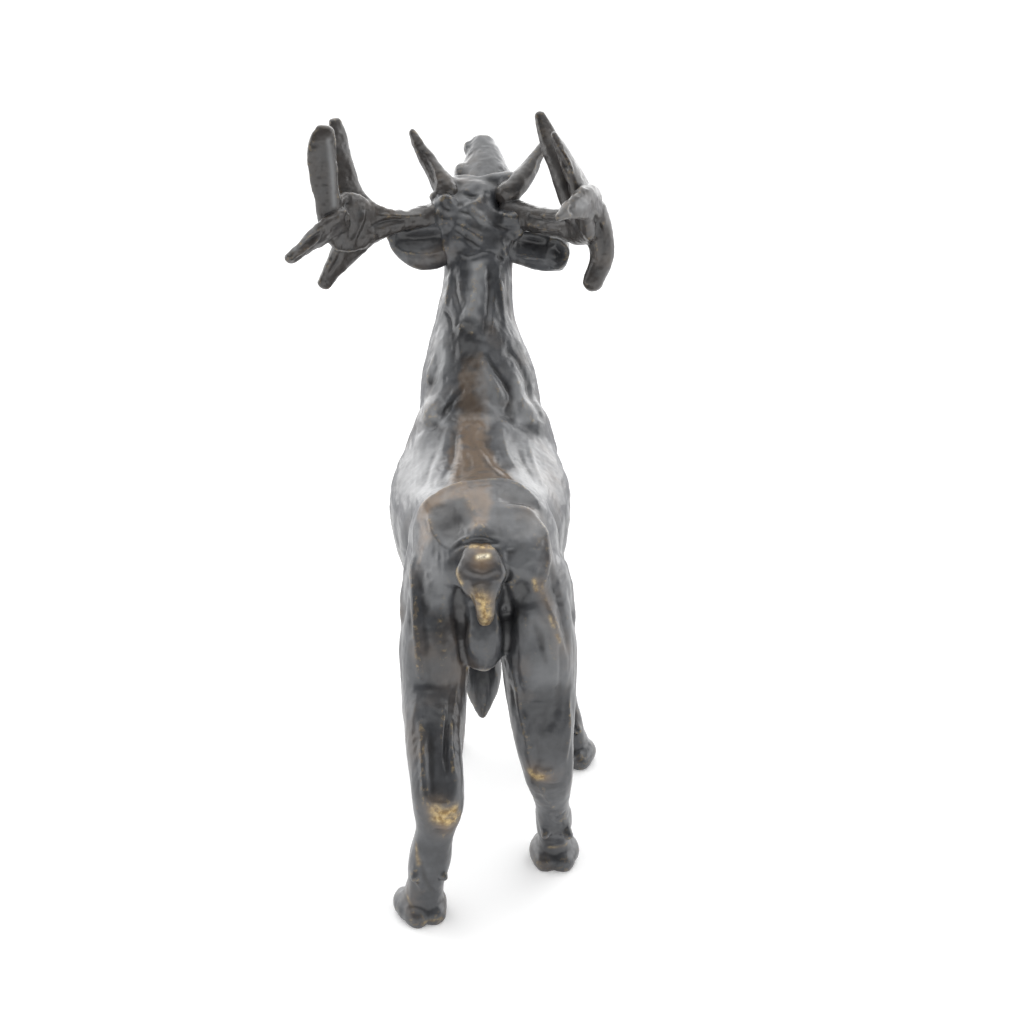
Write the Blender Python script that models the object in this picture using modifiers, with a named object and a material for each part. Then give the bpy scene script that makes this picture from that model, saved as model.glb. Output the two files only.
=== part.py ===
"""Small bronze statuette of a bellowing stag, as the castings and pins it is assembled from.

The stag stands on the XY plane and faces -Y; its right side is towards -X. Every figure is in
millimetres, given as (forward, right, up), where forward 0 is the toe-off of the left hind hoof.
The body is cast in sections: a hollow trunk, a hollow neck with the head, four lower legs, two
antlers, two ears and the tail. Legs and neck have tenons, and cross pins hold them in their sockets.
"""

import math

import bmesh
import bpy
import numpy as np
from mathutils import Matrix, Vector

MM = 0.001
MIDDLE_FORWARD = 40.735  # the stag's middle, which stands over the origin
MIDDLE_RIGHT = -4.533
FIT = 0.3  # clearance between neighbouring castings
SKIN_VOXEL = 0.45  # grain of the clay masses when they are pressed into one skin
HORN_VOXEL = 0.3

HIND_LEFT_SEAM = 32.6  # heights at which the lower legs are joined on
HIND_RIGHT_SEAM = 31.4
FORE_SEAM = 29.6
NECK_SEAM = (63.4, -0.4, 66.2)  # middle of the neck joint
NECK_LEAN = 23.3  # degrees the neck leans forward from upright
NECK_TENON = (5.2, 6.8)  # half width and half depth
NECK_BORE = (3.5, 5.0)
NECK_TENON_DEPTH = 4.5
HIND_TENON = (2.6, 6.0)  # radius and height
FORE_TENON = (2.0, 5.0)
CROSS_PIN = 0.65  # pin radius
WALL = 2.5  # thickness of the hollow trunk

# forward, top, bottom, height of the widest point, half width, shift to the right
TRUNK = (
    (1.5, 53.0, 45.5, 50.0, 4.2, 0.3),
    (5.0, 56.0, 40.5, 48.5, 8.0, 0.4),
    (10.0, 58.6, 36.5, 48.5, 9.9, 0.4),
    (16.0, 59.6, 34.0, 48.5, 10.7, 0.4),
    (22.0, 59.2, 32.2, 48.0, 11.3, 0.2),
    (30.0, 58.0, 31.0, 48.5, 12.6, 0.0),
    (37.0, 57.6, 30.0, 49.5, 13.9, -0.1),
    (45.0, 59.2, 29.6, 50.0, 14.5, -0.2),
    (52.0, 62.6, 30.6, 50.5, 13.8, -0.2),
    (58.0, 65.0, 32.6, 51.5, 12.4, 0.0),
    (64.0, 65.5, 36.2, 51.0, 10.0, -0.1),
    (69.5, 60.0, 41.0, 50.5, 7.4, 0.0),
    (73.0, 54.0, 45.0, 49.5, 4.0, 0.0),
)
# forward, right, up, half width, half thickness
NECK = (
    (56.0, -0.3, 50.0, 10.0, 13.0),
    (60.0, -0.3, 58.0, 10.6, 13.2),
    (63.6, -0.4, 65.5, 9.5, 11.2),
    (66.8, -0.5, 73.0, 7.5, 8.8),
    (69.6, -0.1, 80.0, 6.0, 7.0),
    (71.6, 0.0, 86.0, 6.0, 6.6),
)
HIND_LEFT = (
    (14.0, -6.0, 46.0, 5.0, 10.5),
    (10.0, -6.6, 38.0, 5.1, 9.0),
    (7.0, -6.9, 31.5, 4.7, 6.8),
    (1.0, -6.8, 26.0, 4.0, 4.8),
    (-2.6, -6.3, 21.5, 3.6, 3.6),
    (-3.2, -6.2, 18.6, 3.4, 3.1),
    (-2.6, -6.8, 14.5, 2.7, 2.6),
    (-1.8, -7.6, 9.8, 2.9, 3.0),
    (-1.0, -8.2, 6.2, 2.5, 2.7),
    (0.0, -8.7, 2.8, 2.8, 3.2),
)
HIND_RIGHT = (
    (14.0, 7.4, 46.0, 5.2, 10.5),
    (11.0, 8.0, 38.0, 5.4, 9.0),
    (10.0, 8.4, 31.5, 5.1, 6.6),
    (7.5, 8.8, 25.5, 4.4, 4.7),
    (6.6, 9.3, 20.5, 3.7, 3.5),
    (7.4, 9.8, 17.5, 3.2, 3.0),
    (10.2, 10.2, 12.5, 2.4, 2.4),
    (12.6, 10.6, 8.6, 2.6, 2.8),
    (14.4, 10.8, 5.4, 2.4, 2.6),
    (15.6, 10.9, 2.8, 2.8, 3.2),
)
FORE_RIGHT = (
    (54.0, 8.5, 42.0, 4.6, 7.4),
    (51.5, 10.2, 34.0, 4.0, 5.2),
    (53.0, 11.6, 27.0, 3.3, 3.7),
    (54.0, 13.0, 19.5, 3.1, 3.1),
    (52.2, 13.6, 13.5, 2.2, 2.4),
    (50.2, 14.4, 8.4, 2.6, 2.8),
    (50.4, 15.0, 5.4, 2.4, 2.6),
    (51.2, 15.4, 2.8, 2.8, 3.2),
)
FORE_LEFT = (
    (54.0, -8.5, 42.0, 4.6, 7.4),
    (51.5, -8.9, 34.0, 4.0, 5.2),
    (54.5, -8.8, 27.0, 3.3, 3.7),
    (57.5, -8.5, 19.5, 3.1, 3.1),
    (57.2, -8.3, 13.5, 2.3, 2.4),
    (55.8, -8.2, 8.4, 2.6, 2.8),
    (56.3, -8.1, 5.4, 2.4, 2.6),
    (57.4, -8.0, 2.8, 2.8, 3.2),
)
# middle forward, right, degrees toed out to the right
HOOVES = (
    (0.9, -9.2, -16.0),
    (16.6, 10.9, 2.0),
    (51.4, 15.8, 8.0),
    (57.8, -7.9, -4.0),
)
# one cloven toe: along, outwards, up, half width, half thickness
TOE = (
    (-3.3, 1.3, 1.3, 1.8, 1.8),
    (-1.0, 1.8, 1.7, 2.0, 2.2),
    (1.6, 1.7, 1.4, 1.8, 1.8),
    (3.8, 1.2, 0.8, 1.1, 1.2),
)
SCROTUM = (
    (9.5, 0.1, 45.5, 2.2, 1.8),
    (8.4, 0.1, 42.0, 2.8, 2.4),
    (8.0, 0.2, 38.0, 3.3, 2.8),
    (8.0, 0.3, 35.9, 2.9, 2.5),
)
SHEATH = (
    (23.0, 0.0, 33.0, 2.8, 3.6),
    (21.0, 0.0, 29.5, 3.1, 2.8),
    (19.8, 0.0, 26.3, 2.4, 1.9),
    (19.2, 0.0, 22.8, 0.8, 0.8),
)
MUZZLE = (
    (72.5, 0.1, 90.0, 5.6, 5.8),
    (76.6, 0.2, 92.6, 5.3, 5.3),
    (80.2, 0.4, 95.8, 4.5, 4.2),
    (83.3, 0.6, 98.9, 3.6, 3.3),
    (85.4, 0.7, 100.9, 2.6, 2.6),
)
JAW = (
    (72.6, 0.1, 85.6, 4.4, 4.0),
    (76.6, 0.2, 87.4, 3.6, 2.8),
    (81.0, 0.4, 90.4, 2.8, 1.8),
    (84.4, 0.6, 93.0, 2.0, 1.3),
)
BROW = (
    (71.0, -5.2, 94.6, 1.7, 1.7),
    (73.2, -3.0, 97.4, 1.7, 1.7),
    (74.0, 0.0, 98.0, 1.7, 1.7),
    (73.4, 3.0, 98.2, 1.7, 1.7),
    (71.0, 5.2, 95.4, 1.7, 1.7),
)
TAIL = (
    (7.5, -0.2, 55.6, 2.4, 1.6),
    (3.6, -0.2, 54.8, 3.0, 1.9),
    (1.7, 0.0, 52.4, 3.5, 1.8),
    (1.0, 0.0, 49.5, 2.7, 1.5),
    (0.7, 0.1, 46.5, 1.9, 1.2),
    (0.9, 0.2, 44.0, 1.1, 0.9),
)
EAR_LEFT = (
    (67.8, -4.4, 86.6, 1.6, 1.4),
    (66.8, -7.2, 86.2, 3.0, 1.3),
    (66.0, -10.4, 86.2, 3.1, 1.1),
    (65.4, -13.4, 87.2, 2.1, 0.9),
    (65.0, -15.6, 88.4, 0.9, 0.7),
)
EAR_RIGHT = (
    (67.8, 4.4, 86.2, 2.0, 1.6),
    (68.6, 7.8, 85.6, 2.8, 1.4),
    (68.4, 10.8, 85.0, 3.1, 1.2),
    (68.0, 13.6, 84.6, 2.8, 1.1),
)
# each antler is a fan of limbs: direction in which it is broad, and its rows
ANTLER_LEFT = (
    (
        (0, 0, 1),
        (
            (69.6, -5.4, 91.5, 2.2, 2.1),
            (67.0, -9.5, 91.4, 2.2, 1.9),
            (64.2, -14.0, 91.1, 2.3, 1.8),
            (61.4, -17.6, 91.1, 3.8, 1.6),
            (58.6, -20.8, 91.6, 5.7, 1.3),
            (55.2, -23.2, 92.0, 4.2, 1.2),
        ),
    ),
    (
        (1, 0.6, 0),
        (
            (60.5, -20.8, 93.5, 2.8, 1.3),
            (61.5, -22.2, 98.5, 1.8, 1.0),
            (62.6, -23.0, 103.5, 1.6, 0.9),
            (63.2, -23.4, 107.0, 1.1, 0.8),
        ),
    ),
    (
        (1, 0.35, 0),
        (
            (55.4, -23.4, 92.5, 2.4, 1.2),
            (53.9, -24.2, 97.5, 2.2, 1.0),
            (53.2, -24.4, 102.3, 2.3, 0.9),
            (52.9, -24.2, 106.4, 1.6, 0.8),
        ),
    ),
    (
        (0, 1, 1),
        (
            (55.6, -22.8, 92.0, 2.8, 1.3),
            (53.0, -25.4, 90.2, 2.4, 1.1),
            (51.0, -28.0, 88.4, 1.7, 1.0),
            (49.8, -29.8, 87.2, 1.1, 0.8),
        ),
    ),
    (
        (1, 0.3, 0),
        (
            (60.5, -20.2, 90.4, 3.4, 1.4),
            (60.6, -22.4, 86.6, 2.2, 1.2),
            (60.8, -24.4, 83.4, 1.6, 1.1),
            (60.8, -25.6, 81.5, 1.2, 1.0),
        ),
    ),
    (
        (0, 1, 0),
        (
            (70.4, -5.8, 93.2, 2.2, 2.0),
            (72.0, -7.4, 98.0, 1.7, 1.4),
            (73.6, -9.7, 101.3, 1.25, 1.1),
            (74.6, -11.4, 104.2, 0.8, 0.8),
        ),
    ),
)
ANTLER_RIGHT = (
    (
        (0, 0, 1),
        (
            (69.6, 5.2, 91.3, 2.3, 2.1),
            (66.4, 9.5, 91.0, 2.4, 2.0),
            (63.0, 13.4, 90.8, 2.6, 1.9),
            (60.0, 15.8, 91.4, 3.9, 1.7),
            (57.0, 17.0, 93.2, 4.5, 1.5),
            (54.4, 16.8, 94.8, 3.1, 1.4),
        ),
    ),
    (
        (1, 0.6, 0),
        (
            (60.0, 16.0, 94.0, 2.8, 1.5),
            (61.0, 13.8, 99.0, 2.4, 1.4),
            (62.2, 11.5, 103.4, 1.9, 1.1),
            (63.2, 9.6, 108.3, 1.1, 0.9),
        ),
    ),
    (
        (1, 0.4, 0),
        (
            (56.0, 16.8, 94.0, 2.8, 1.4),
            (55.0, 14.6, 98.6, 2.3, 1.2),
            (54.6, 12.7, 102.4, 1.9, 1.0),
            (54.6, 11.2, 105.8, 1.1, 0.9),
        ),
    ),
    (
        (0, 0, 1),
        (
            (56.5, 16.8, 95.4, 2.6, 1.9),
            (52.5, 16.2, 96.4, 2.3, 1.7),
            (48.8, 14.4, 96.6, 1.7, 1.4),
            (46.0, 12.4, 96.1, 1.1, 1.0),
        ),
    ),
    (
        (1, 0, 0),
        (
            (58.5, 17.2, 92.5, 3.0, 1.8),
            (59.2, 19.4, 88.8, 2.0, 1.9),
            (59.4, 19.4, 85.0, 1.7, 1.8),
            (59.0, 17.8, 81.6, 1.6, 1.5),
        ),
    ),
    (
        (0, 1, 0),
        (
            (70.4, 5.8, 93.0, 2.4, 2.0),
            (71.8, 7.9, 96.6, 2.0, 1.5),
            (73.4, 9.6, 99.8, 1.4, 1.1),
            (74.5, 11.2, 102.6, 0.8, 0.8),
        ),
    ),
)


def at(forward, right, up):
    """World position, in metres, of a point given in the stag's own millimetres."""
    return Vector((MIDDLE_RIGHT - right, MIDDLE_FORWARD - forward, up)) * MM


def smoothed(rows, steps=4):
    """The rows with Catmull-Rom rows put between them."""
    rows = np.array(rows, float)
    ends = np.vstack([2 * rows[0] - rows[1], rows, 2 * rows[-1] - rows[-2]])
    made = []
    for i in range(len(rows) - 1):
        a, b, c, d = ends[i : i + 4]
        for t in np.arange(steps) / steps:
            bend = (2 * a - 5 * b + 4 * c - d) * t**2 + (3 * b - a - 3 * c + d) * t**3
            made.append(0.5 * (2 * b + (c - a) * t + bend))
    made.append(rows[-1])
    return np.array(made)


def skin_rings(body, rings):
    """Lofts a stack of rings into one closed tube, each end drawn to a point."""
    loops = [[body.verts.new(point) for point in ring] for ring in rings]
    for low, high in zip(loops, loops[1:]):
        for i in range(len(low)):
            j = (i + 1) % len(low)
            body.faces.new((low[i], low[j], high[j], high[i]))
    for loop, turn in ((loops[0], -1), (loops[-1], 1)):
        tip = body.verts.new(sum((v.co for v in loop), Vector()) / len(loop))
        for i in range(len(loop)):
            j = (i + 1) % len(loop)
            body.faces.new((loop[i], loop[j], tip)[::turn])


def ring_of(middle, wide, thin, sides):
    angles = [math.tau * i / sides for i in range(sides)]
    return [middle + wide * math.cos(a) + thin * math.sin(a) for a in angles]


def add_barrel(body, stations, inset=0.0, sides=28):
    """A trunk lofted through upright sections, each with its own top, bottom and widest height."""
    rings = []
    for forward, top, bottom, widest, half, shift in smoothed(stations):
        ring = []
        for i in range(sides):
            a = math.tau * i / sides
            rise = top - inset - widest if math.sin(a) > 0 else widest - bottom - inset
            right = shift + (half - inset) * math.cos(a)
            ring.append(at(forward, right, widest + rise * math.sin(a)))
        rings.append(ring)
    skin_rings(body, rings)


def add_limb(body, rows, across=(1, 0, 0), sides=16):
    """A round-ended limb lofted through elliptical sections, broad in the direction `across`."""
    rows = smoothed(rows)
    middles = [at(*row[:3]) for row in rows]
    broad = Vector(across)
    rings = []
    last = len(rows) - 1
    for i, (middle, row) in enumerate(zip(middles, rows)):
        along = (middles[min(i + 1, last)] - middles[max(i - 1, 0)]).normalized()
        wide = (broad - along * broad.dot(along)).normalized()
        thin = along.cross(wide)
        half_wide = row[3] * MM
        half_thin = row[4] * MM
        reach = along * min(half_wide, half_thin)
        caps = [0.0]
        if i == 0:
            caps = [-75.0, -50.0, -25.0, 0.0]
        elif i == last:
            caps = [0.0, 25.0, 50.0, 75.0]
        for cap in caps:
            a = math.radians(cap)
            shrink = math.cos(a)
            centre = middle + reach * math.sin(a)
            rings.append(ring_of(centre, wide * half_wide * shrink, thin * half_thin * shrink, sides))
    skin_rings(body, rings)


def add_ball(body, middle, radii, tilt=0.0):
    """An ellipsoid with radii along forward, right and up, tilted nose-up."""
    turn = Matrix.Rotation(math.radians(-tilt), 4, "X")
    size = Matrix.Diagonal((radii[1] * MM, radii[0] * MM, radii[2] * MM, 1))
    place = Matrix.Translation(at(*middle)) @ turn @ size
    bmesh.ops.create_uvsphere(body, u_segments=20, v_segments=12, radius=1, matrix=place)


def add_hoof(body, forward, right, toed_out):
    """A cloven hoof: two toes side by side."""
    a = math.radians(toed_out)
    for side in (-1, 1):
        rows = []
        for along, out, up, half, thick in TOE:
            ahead = forward + along * math.cos(a) - side * out * math.sin(a)
            aside = right + along * math.sin(a) + side * out * math.cos(a)
            rows.append((ahead, aside, up, half, thick))
        add_limb(body, rows)


def add_body(body):
    add_barrel(body, TRUNK)
    for rows in (NECK, HIND_LEFT, HIND_RIGHT, FORE_RIGHT, FORE_LEFT, SCROTUM):
        add_limb(body, rows)
    for hoof in HOOVES:
        add_hoof(body, *hoof)
    add_ball(body, (12.0, -6.3, 43.0), (9.5, 5.4, 11.5), tilt=-15)
    add_ball(body, (12.0, 7.2, 41.0), (9.5, 5.8, 10.5), tilt=-15)
    add_ball(body, (57.0, -7.8, 50.0), (9.0, 4.6, 12.5), tilt=15)
    add_ball(body, (57.0, 8.0, 50.0), (9.0, 4.6, 12.5), tilt=15)


def add_head(body):
    add_ball(body, (71.6, 0, 89.2), (6.6, 6.0, 6.5), tilt=30)
    add_limb(body, MUZZLE)
    add_limb(body, JAW)
    add_limb(body, BROW, across=(0, 1, 0))
    for side in (-1, 1):
        pedicle = (
            (71.0, 3.0 * side, 89.6, 2.6, 2.6),
            (70.0, 5.6 * side, 91.2, 2.4, 2.4),
        )
        add_limb(body, pedicle, across=(0, 1, 0))
        add_ball(body, (76.8, 4.6 * side, 94.4), (2.0, 1.4, 1.6), tilt=30)


def in_collection(obj, collection):
    collection.objects.link(obj)
    return obj


def pressed(add_masses, name, voxel, rubs, triangles):
    """One skin over overlapping clay masses: fused, rubbed smooth and thinned to few triangles."""
    body = bmesh.new()
    add_masses(body)
    bmesh.ops.recalc_face_normals(body, faces=body.faces)
    clay = bpy.data.meshes.new(name + "_clay")
    body.to_mesh(clay)
    body.free()
    lump = bpy.data.objects.new(name + "_clay", clay)
    bpy.context.scene.collection.objects.link(lump)
    fuse = lump.modifiers.new("fuse", "REMESH")
    fuse.mode = "VOXEL"
    fuse.voxel_size = voxel * MM
    rub = lump.modifiers.new("rub", "SMOOTH")
    rub.factor = 0.5
    rub.iterations = rubs
    skin = evaluated_mesh(lump)
    lump.modifiers.clear()
    lump.data = skin
    thin = lump.modifiers.new("thin", "DECIMATE")
    thin.ratio = triangles / (2 * len(skin.polygons))
    mesh = evaluated_mesh(lump)
    mesh.name = name
    bpy.data.objects.remove(lump)
    return mesh


def evaluated_mesh(obj):
    graph = bpy.context.evaluated_depsgraph_get()
    return bpy.data.meshes.new_from_object(obj.evaluated_get(graph))


def patina(name, colour, roughness):
    material = bpy.data.materials.new(name)
    material.use_nodes = True
    shader = material.node_tree.nodes["Principled BSDF"]
    shader.inputs["Base Color"].default_value = (*colour, 1.0)
    shader.inputs["Metallic"].default_value = 1.0
    shader.inputs["Roughness"].default_value = roughness
    return material


def make_part(name, mesh, material):
    part = in_collection(bpy.data.objects.new(name, mesh), PARTS)
    part.parent = STAND
    part.data.materials.clear()
    part.data.materials.append(material)
    return part


def make_cutter(name, mesh):
    cutter = in_collection(bpy.data.objects.new(name, mesh), CUTTERS)
    cutter.hide_render = True
    cutter.display_type = "WIRE"
    return cutter


def box_mesh(name, low, high):
    """A box between two corners given as (forward, right, up)."""
    body = bmesh.new()
    a, b = at(*low), at(*high)
    size = [abs(b[k] - a[k]) for k in range(3)]
    place = Matrix.Translation((a + b) / 2) @ Matrix.Diagonal((*size, 1))
    bmesh.ops.create_cube(body, size=1, matrix=place)
    mesh = bpy.data.meshes.new(name)
    body.to_mesh(mesh)
    body.free()
    return mesh


def rod_mesh(name, start, end, radius, second_radius=None, sides=20, bevel=0.0):
    """A rod between two points; an oval one has its second radius across the first, fore and aft."""
    a, b = at(*start), at(*end)
    axis = (b - a).normalized()
    side = Vector((1, 0, 0)) if abs(axis.x) < 0.9 else Vector((0, 0, 1))
    side = (side - axis * side.dot(axis)).normalized()
    turn = Matrix((side, axis.cross(side), axis)).transposed().to_4x4()
    second = second_radius or radius
    size = Matrix.Diagonal((radius * MM, second * MM, (b - a).length, 1))
    place = Matrix.Translation((a + b) / 2) @ turn @ size
    body = bmesh.new()
    bmesh.ops.create_cone(
        body, cap_ends=True, segments=sides, radius1=1, radius2=1, depth=1, matrix=place
    )
    if bevel:
        rims = [e for e in body.edges if abs((e.verts[0].co - e.verts[1].co).normalized().dot(axis)) < 0.5]
        bmesh.ops.bevel(body, geom=rims, offset=bevel * MM, segments=1, affect="EDGES")
    mesh = bpy.data.meshes.new(name)
    body.to_mesh(mesh)
    body.free()
    return mesh


def boolean(obj, kind, cutter):
    cut = obj.modifiers.new(cutter.name, "BOOLEAN")
    cut.operation = kind
    cut.solver = "EXACT"
    cut.object = cutter


def fatter(name, mesh):
    """A cutter that is a casting swollen by the fit, so that its root seats in a matching socket."""
    cutter = make_cutter(name, mesh)
    swell = cutter.modifiers.new("swell", "DISPLACE")
    swell.strength = (FIT + 0.05) * MM
    swell.mid_level = 0.0
    return cutter


def along_neck(distance, right=0.0):
    """A point on the neck's axis, measured up from the joint."""
    lean = math.radians(NECK_LEAN)
    forward, aside, up = NECK_SEAM
    return (forward + distance * math.sin(lean), aside + right, up + distance * math.cos(lean))


def neck_block(name, low, high):
    """A square block around the neck's axis, between two distances from the joint."""
    return rod_mesh(name, along_neck(low), along_neck(high), 60.0, sides=4)


for old in list(bpy.data.objects):
    bpy.data.objects.remove(old)
PARTS = bpy.data.collections.new("bellowing_stag_statuette")
CUTTERS = bpy.data.collections.new("cutters")
bpy.context.scene.collection.children.link(PARTS)
bpy.context.scene.collection.children.link(CUTTERS)
STAND = in_collection(bpy.data.objects.new("statuette", None), PARTS)

BRONZE = patina("dark_patina", (0.045, 0.043, 0.042), 0.38)
HORN = patina("antler_patina", (0.05, 0.047, 0.045), 0.34)
PIN = patina("pin_brass", (0.30, 0.20, 0.08), 0.45)


def add_stag(body):
    add_body(body)
    add_head(body)


STAG = pressed(add_stag, "stag", SKIN_VOXEL, 8, 4400)

# hollow left by the trunk's core, open at the neck and at the belly plug
CORE_STATIONS = [row for row in TRUNK if 14.0 < row[0] < 60.0]


def add_core(body):
    add_barrel(body, CORE_STATIONS, inset=WALL)
    throat = [(*along_neck(d), 5.6, 7.2) for d in (-14.0, -7.0, 0.0)]
    add_limb(body, throat)


core = make_cutter("trunk_core", pressed(add_core, "trunk_core", 0.8, 4, 500))


def add_neck_core(body):
    rows = [
        (*along_neck(-NECK_TENON_DEPTH - 3.0), *NECK_BORE),
        (*along_neck(0.0), *NECK_BORE),
        (*along_neck(8.0), 3.2, 4.2),
        (*along_neck(16.0), 2.4, 2.8),
    ]
    add_limb(body, rows)


neck_core = make_cutter("neck_core", pressed(add_neck_core, "neck_core", 0.6, 2, 300))
above_joint = make_cutter("above_neck_joint", neck_block("above_neck_joint", 0.0, 60.0))
over_joint = make_cutter("over_neck_joint", neck_block("over_neck_joint", -FIT, 60.0))

# trunk
trunk = make_part("trunk_casting", STAG.copy(), BRONZE)
boolean(trunk, "DIFFERENCE", over_joint)

# head and neck
head = make_part("head_and_neck_casting", STAG.copy(), BRONZE)
boolean(head, "INTERSECT", above_joint)
tenon = make_cutter(
    "neck_tenon",
    rod_mesh("neck_tenon", along_neck(-NECK_TENON_DEPTH), along_neck(2.0), *NECK_TENON, sides=28),
)
boolean(head, "UNION", tenon)
boolean(head, "DIFFERENCE", neck_core)
boolean(trunk, "DIFFERENCE", core)
socket = make_cutter(
    "neck_socket",
    rod_mesh(
        "neck_socket",
        along_neck(-NECK_TENON_DEPTH - 1.0),
        along_neck(2.0),
        NECK_TENON[0] + FIT,
        NECK_TENON[1] + FIT,
        sides=28,
    ),
)
boolean(trunk, "DIFFERENCE", socket)

# lower legs: name, rows, seam height, tenon, inner and outer limits of the leg
LEGS = (
    ("hind_leg_left", (7.6, -6.9), HIND_LEFT_SEAM, HIND_TENON, (-9, 20), (-20.0, -0.6), (-11.2, -2.6)),
    ("hind_leg_right", (10.0, 8.4), HIND_RIGHT_SEAM, HIND_TENON, (-6, 26), (1.2, 20.0), (4.0, 12.8)),
    ("fore_leg_right", (52.4, 11.1), FORE_SEAM, FORE_TENON, (40, 66), (2.0, 26.0), (7.9, 13.6)),
    ("fore_leg_left", (53.4, -8.9), FORE_SEAM, FORE_TENON, (40, 70), (-22.0, -2.0), (-11.8, -6.0)),
)
for name, (forward, right), seam, (radius, height), reach, sides, pin_span in LEGS:
    low = (reach[0], sides[0], 0.0)
    leg = make_part(name + "_casting", STAG.copy(), BRONZE)
    keep = make_cutter(name + "_keep", box_mesh(name + "_keep", low, (reach[1], sides[1], seam)))
    boolean(leg, "INTERSECT", keep)
    base = (forward, right, seam - 1.0)
    top = (forward, right, seam + height)
    peg = make_cutter(name + "_tenon", rod_mesh(name + "_tenon", base, top, radius))
    boolean(leg, "UNION", peg)
    deep = (reach[0], sides[0], -6.0)
    high = (reach[1], sides[1], seam + FIT)
    clear = make_cutter(name + "_clear", box_mesh(name + "_clear", deep, high))
    boolean(trunk, "DIFFERENCE", clear)
    roof = (forward, right, seam + height + FIT)
    hole = make_cutter(name + "_socket", rod_mesh(name + "_socket", base, roof, radius + FIT))
    boolean(trunk, "DIFFERENCE", hole)
    mid = seam + height * 0.52
    ends = [(forward, s, mid) for s in pin_span]
    pin = make_part(name + "_pin", rod_mesh(name + "_pin", *ends, CROSS_PIN, sides=16, bevel=0.15), PIN)
    drilled = [(forward, pin_span[0] - 3.0, mid), (forward, pin_span[1] + 0.3, mid)]
    if pin_span[0] > 0:
        drilled = [(forward, pin_span[0] - 0.3, mid), (forward, pin_span[1] + 3.0, mid)]
    drill_name = name + "_pin_hole"
    drill = make_cutter(drill_name, rod_mesh(drill_name, *drilled, CROSS_PIN + FIT, sides=16))
    boolean(leg, "DIFFERENCE", drill)
    boolean(trunk, "DIFFERENCE", drill)



def add_sheath(body):
    add_limb(body, SHEATH)


sheath = make_cutter("sheath_mass", pressed(add_sheath, "sheath_mass", HORN_VOXEL, 3, 160))
boolean(trunk, "UNION", sheath)

# two pins through the neck's collar into the tenon
for side, name in ((-1, "left"), (1, "right")):
    inner = along_neck(-2.3, side * (NECK_BORE[0] + 0.4))
    outer = along_neck(-2.3, side * 9.0)
    pin_name = "neck_pin_" + name
    pin = make_part(pin_name, rod_mesh(pin_name, inner, outer, CROSS_PIN, sides=16, bevel=0.15), PIN)
    bored = (along_neck(-2.3, side * 1.0), along_neck(-2.3, side * 14.0))
    drill_name = pin_name + "_hole"
    drill = make_cutter(drill_name, rod_mesh(drill_name, *bored, CROSS_PIN + FIT, sides=16))
    boolean(trunk, "DIFFERENCE", drill)
    boolean(head, "DIFFERENCE", drill)


def add_limbs(limbs):
    """Masses for a horn, an ear or the tail."""

    def add(body):
        for across, rows in limbs:
            add_limb(body, rows, across=across)

    return add


# antlers, ears and tail: name, limbs, triangles, casting they are let into
FITTED = (
    ("antler_left_casting", ANTLER_LEFT, 720, head, HORN),
    ("antler_right_casting", ANTLER_RIGHT, 720, head, HORN),
    ("ear_left_casting", (((0, 0, 1), EAR_LEFT),), 180, head, BRONZE),
    ("ear_right_casting", (((0, 0, 1), EAR_RIGHT),), 180, head, BRONZE),
    ("tail_casting", (((1, 0, 0), TAIL),), 200, trunk, BRONZE),
)
fitted = {}
for name, limbs, triangles, host, material in FITTED:
    mesh = pressed(add_limbs(limbs), name, HORN_VOXEL, 2, triangles)
    fitted[name] = make_part(name, mesh, material)
    boolean(host, "DIFFERENCE", fatter(name + "_seat", mesh.copy()))

# dowels that hold the antlers, and the rivet at the root of the tail
DOWELS = (
    ("antler_left_dowel", (70.9, -2.6, 91.6), (68.4, -7.2, 91.5), "antler_left_casting", head),
    ("antler_right_dowel", (70.9, 2.6, 91.4), (68.2, 7.2, 91.2), "antler_right_casting", head),
    ("tail_rivet", (7.6, -0.2, 52.6), (3.8, -0.2, 56.2), "tail_casting", trunk),
)
for name, start, end, casting, host in DOWELS:
    dowel = make_part(name, rod_mesh(name, start, end, 0.6, sides=14, bevel=0.12), PIN)
    a, b = Vector(start), Vector(end)
    over = (b - a).normalized() * FIT
    beyond = over * (8 if name == "tail_rivet" else 1)
    drill_name = name + "_hole"
    drill = make_cutter(drill_name, rod_mesh(drill_name, a - over, b + beyond, 0.6 + FIT, sides=14))
    boolean(host, "DIFFERENCE", drill)
    boolean(fitted[casting], "DIFFERENCE", drill)

# plugs that close the holes left by the core and its supports
PLUGS = (
    ("belly_core_plug", (36.0, 0.0, 31.0), (36.0, 0.0, 32.6), 2.2, (36.0, 0.0, 26.0), (36.0, 0.0, 36.0)),
    ("flank_plug_left", (34.0, -10.8, 49.0), (34.0, -12.6, 49.0), 0.9, (34.0, -7.0, 49.0), (34.0, -18.0, 49.0)),
    ("flank_plug_right", (34.0, 10.8, 49.0), (34.0, 12.6, 49.0), 0.9, (34.0, 7.0, 49.0), (34.0, 18.0, 49.0)),
)
for name, start, end, radius, hole_start, hole_end in PLUGS:
    plug = make_part(name, rod_mesh(name, start, end, radius, sides=18, bevel=0.15), PIN)
    drill_name = name + "_hole"
    drill = make_cutter(drill_name, rod_mesh(drill_name, hole_start, hole_end, radius + FIT, sides=18))
    boolean(trunk, "DIFFERENCE", drill)

for part in PARTS.objects:
    if part.type == "MESH":
        part.data.shade_smooth()
        part.data.set_sharp_from_angle(angle=math.radians(35))
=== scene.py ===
"""The looks of the bronze stag: chased castings, waxed patina, pale floor and soft light."""

import math

import bmesh
import bpy
import numpy as np
from mathutils import Matrix, Vector
from mathutils.bvhtree import BVHTree


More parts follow.
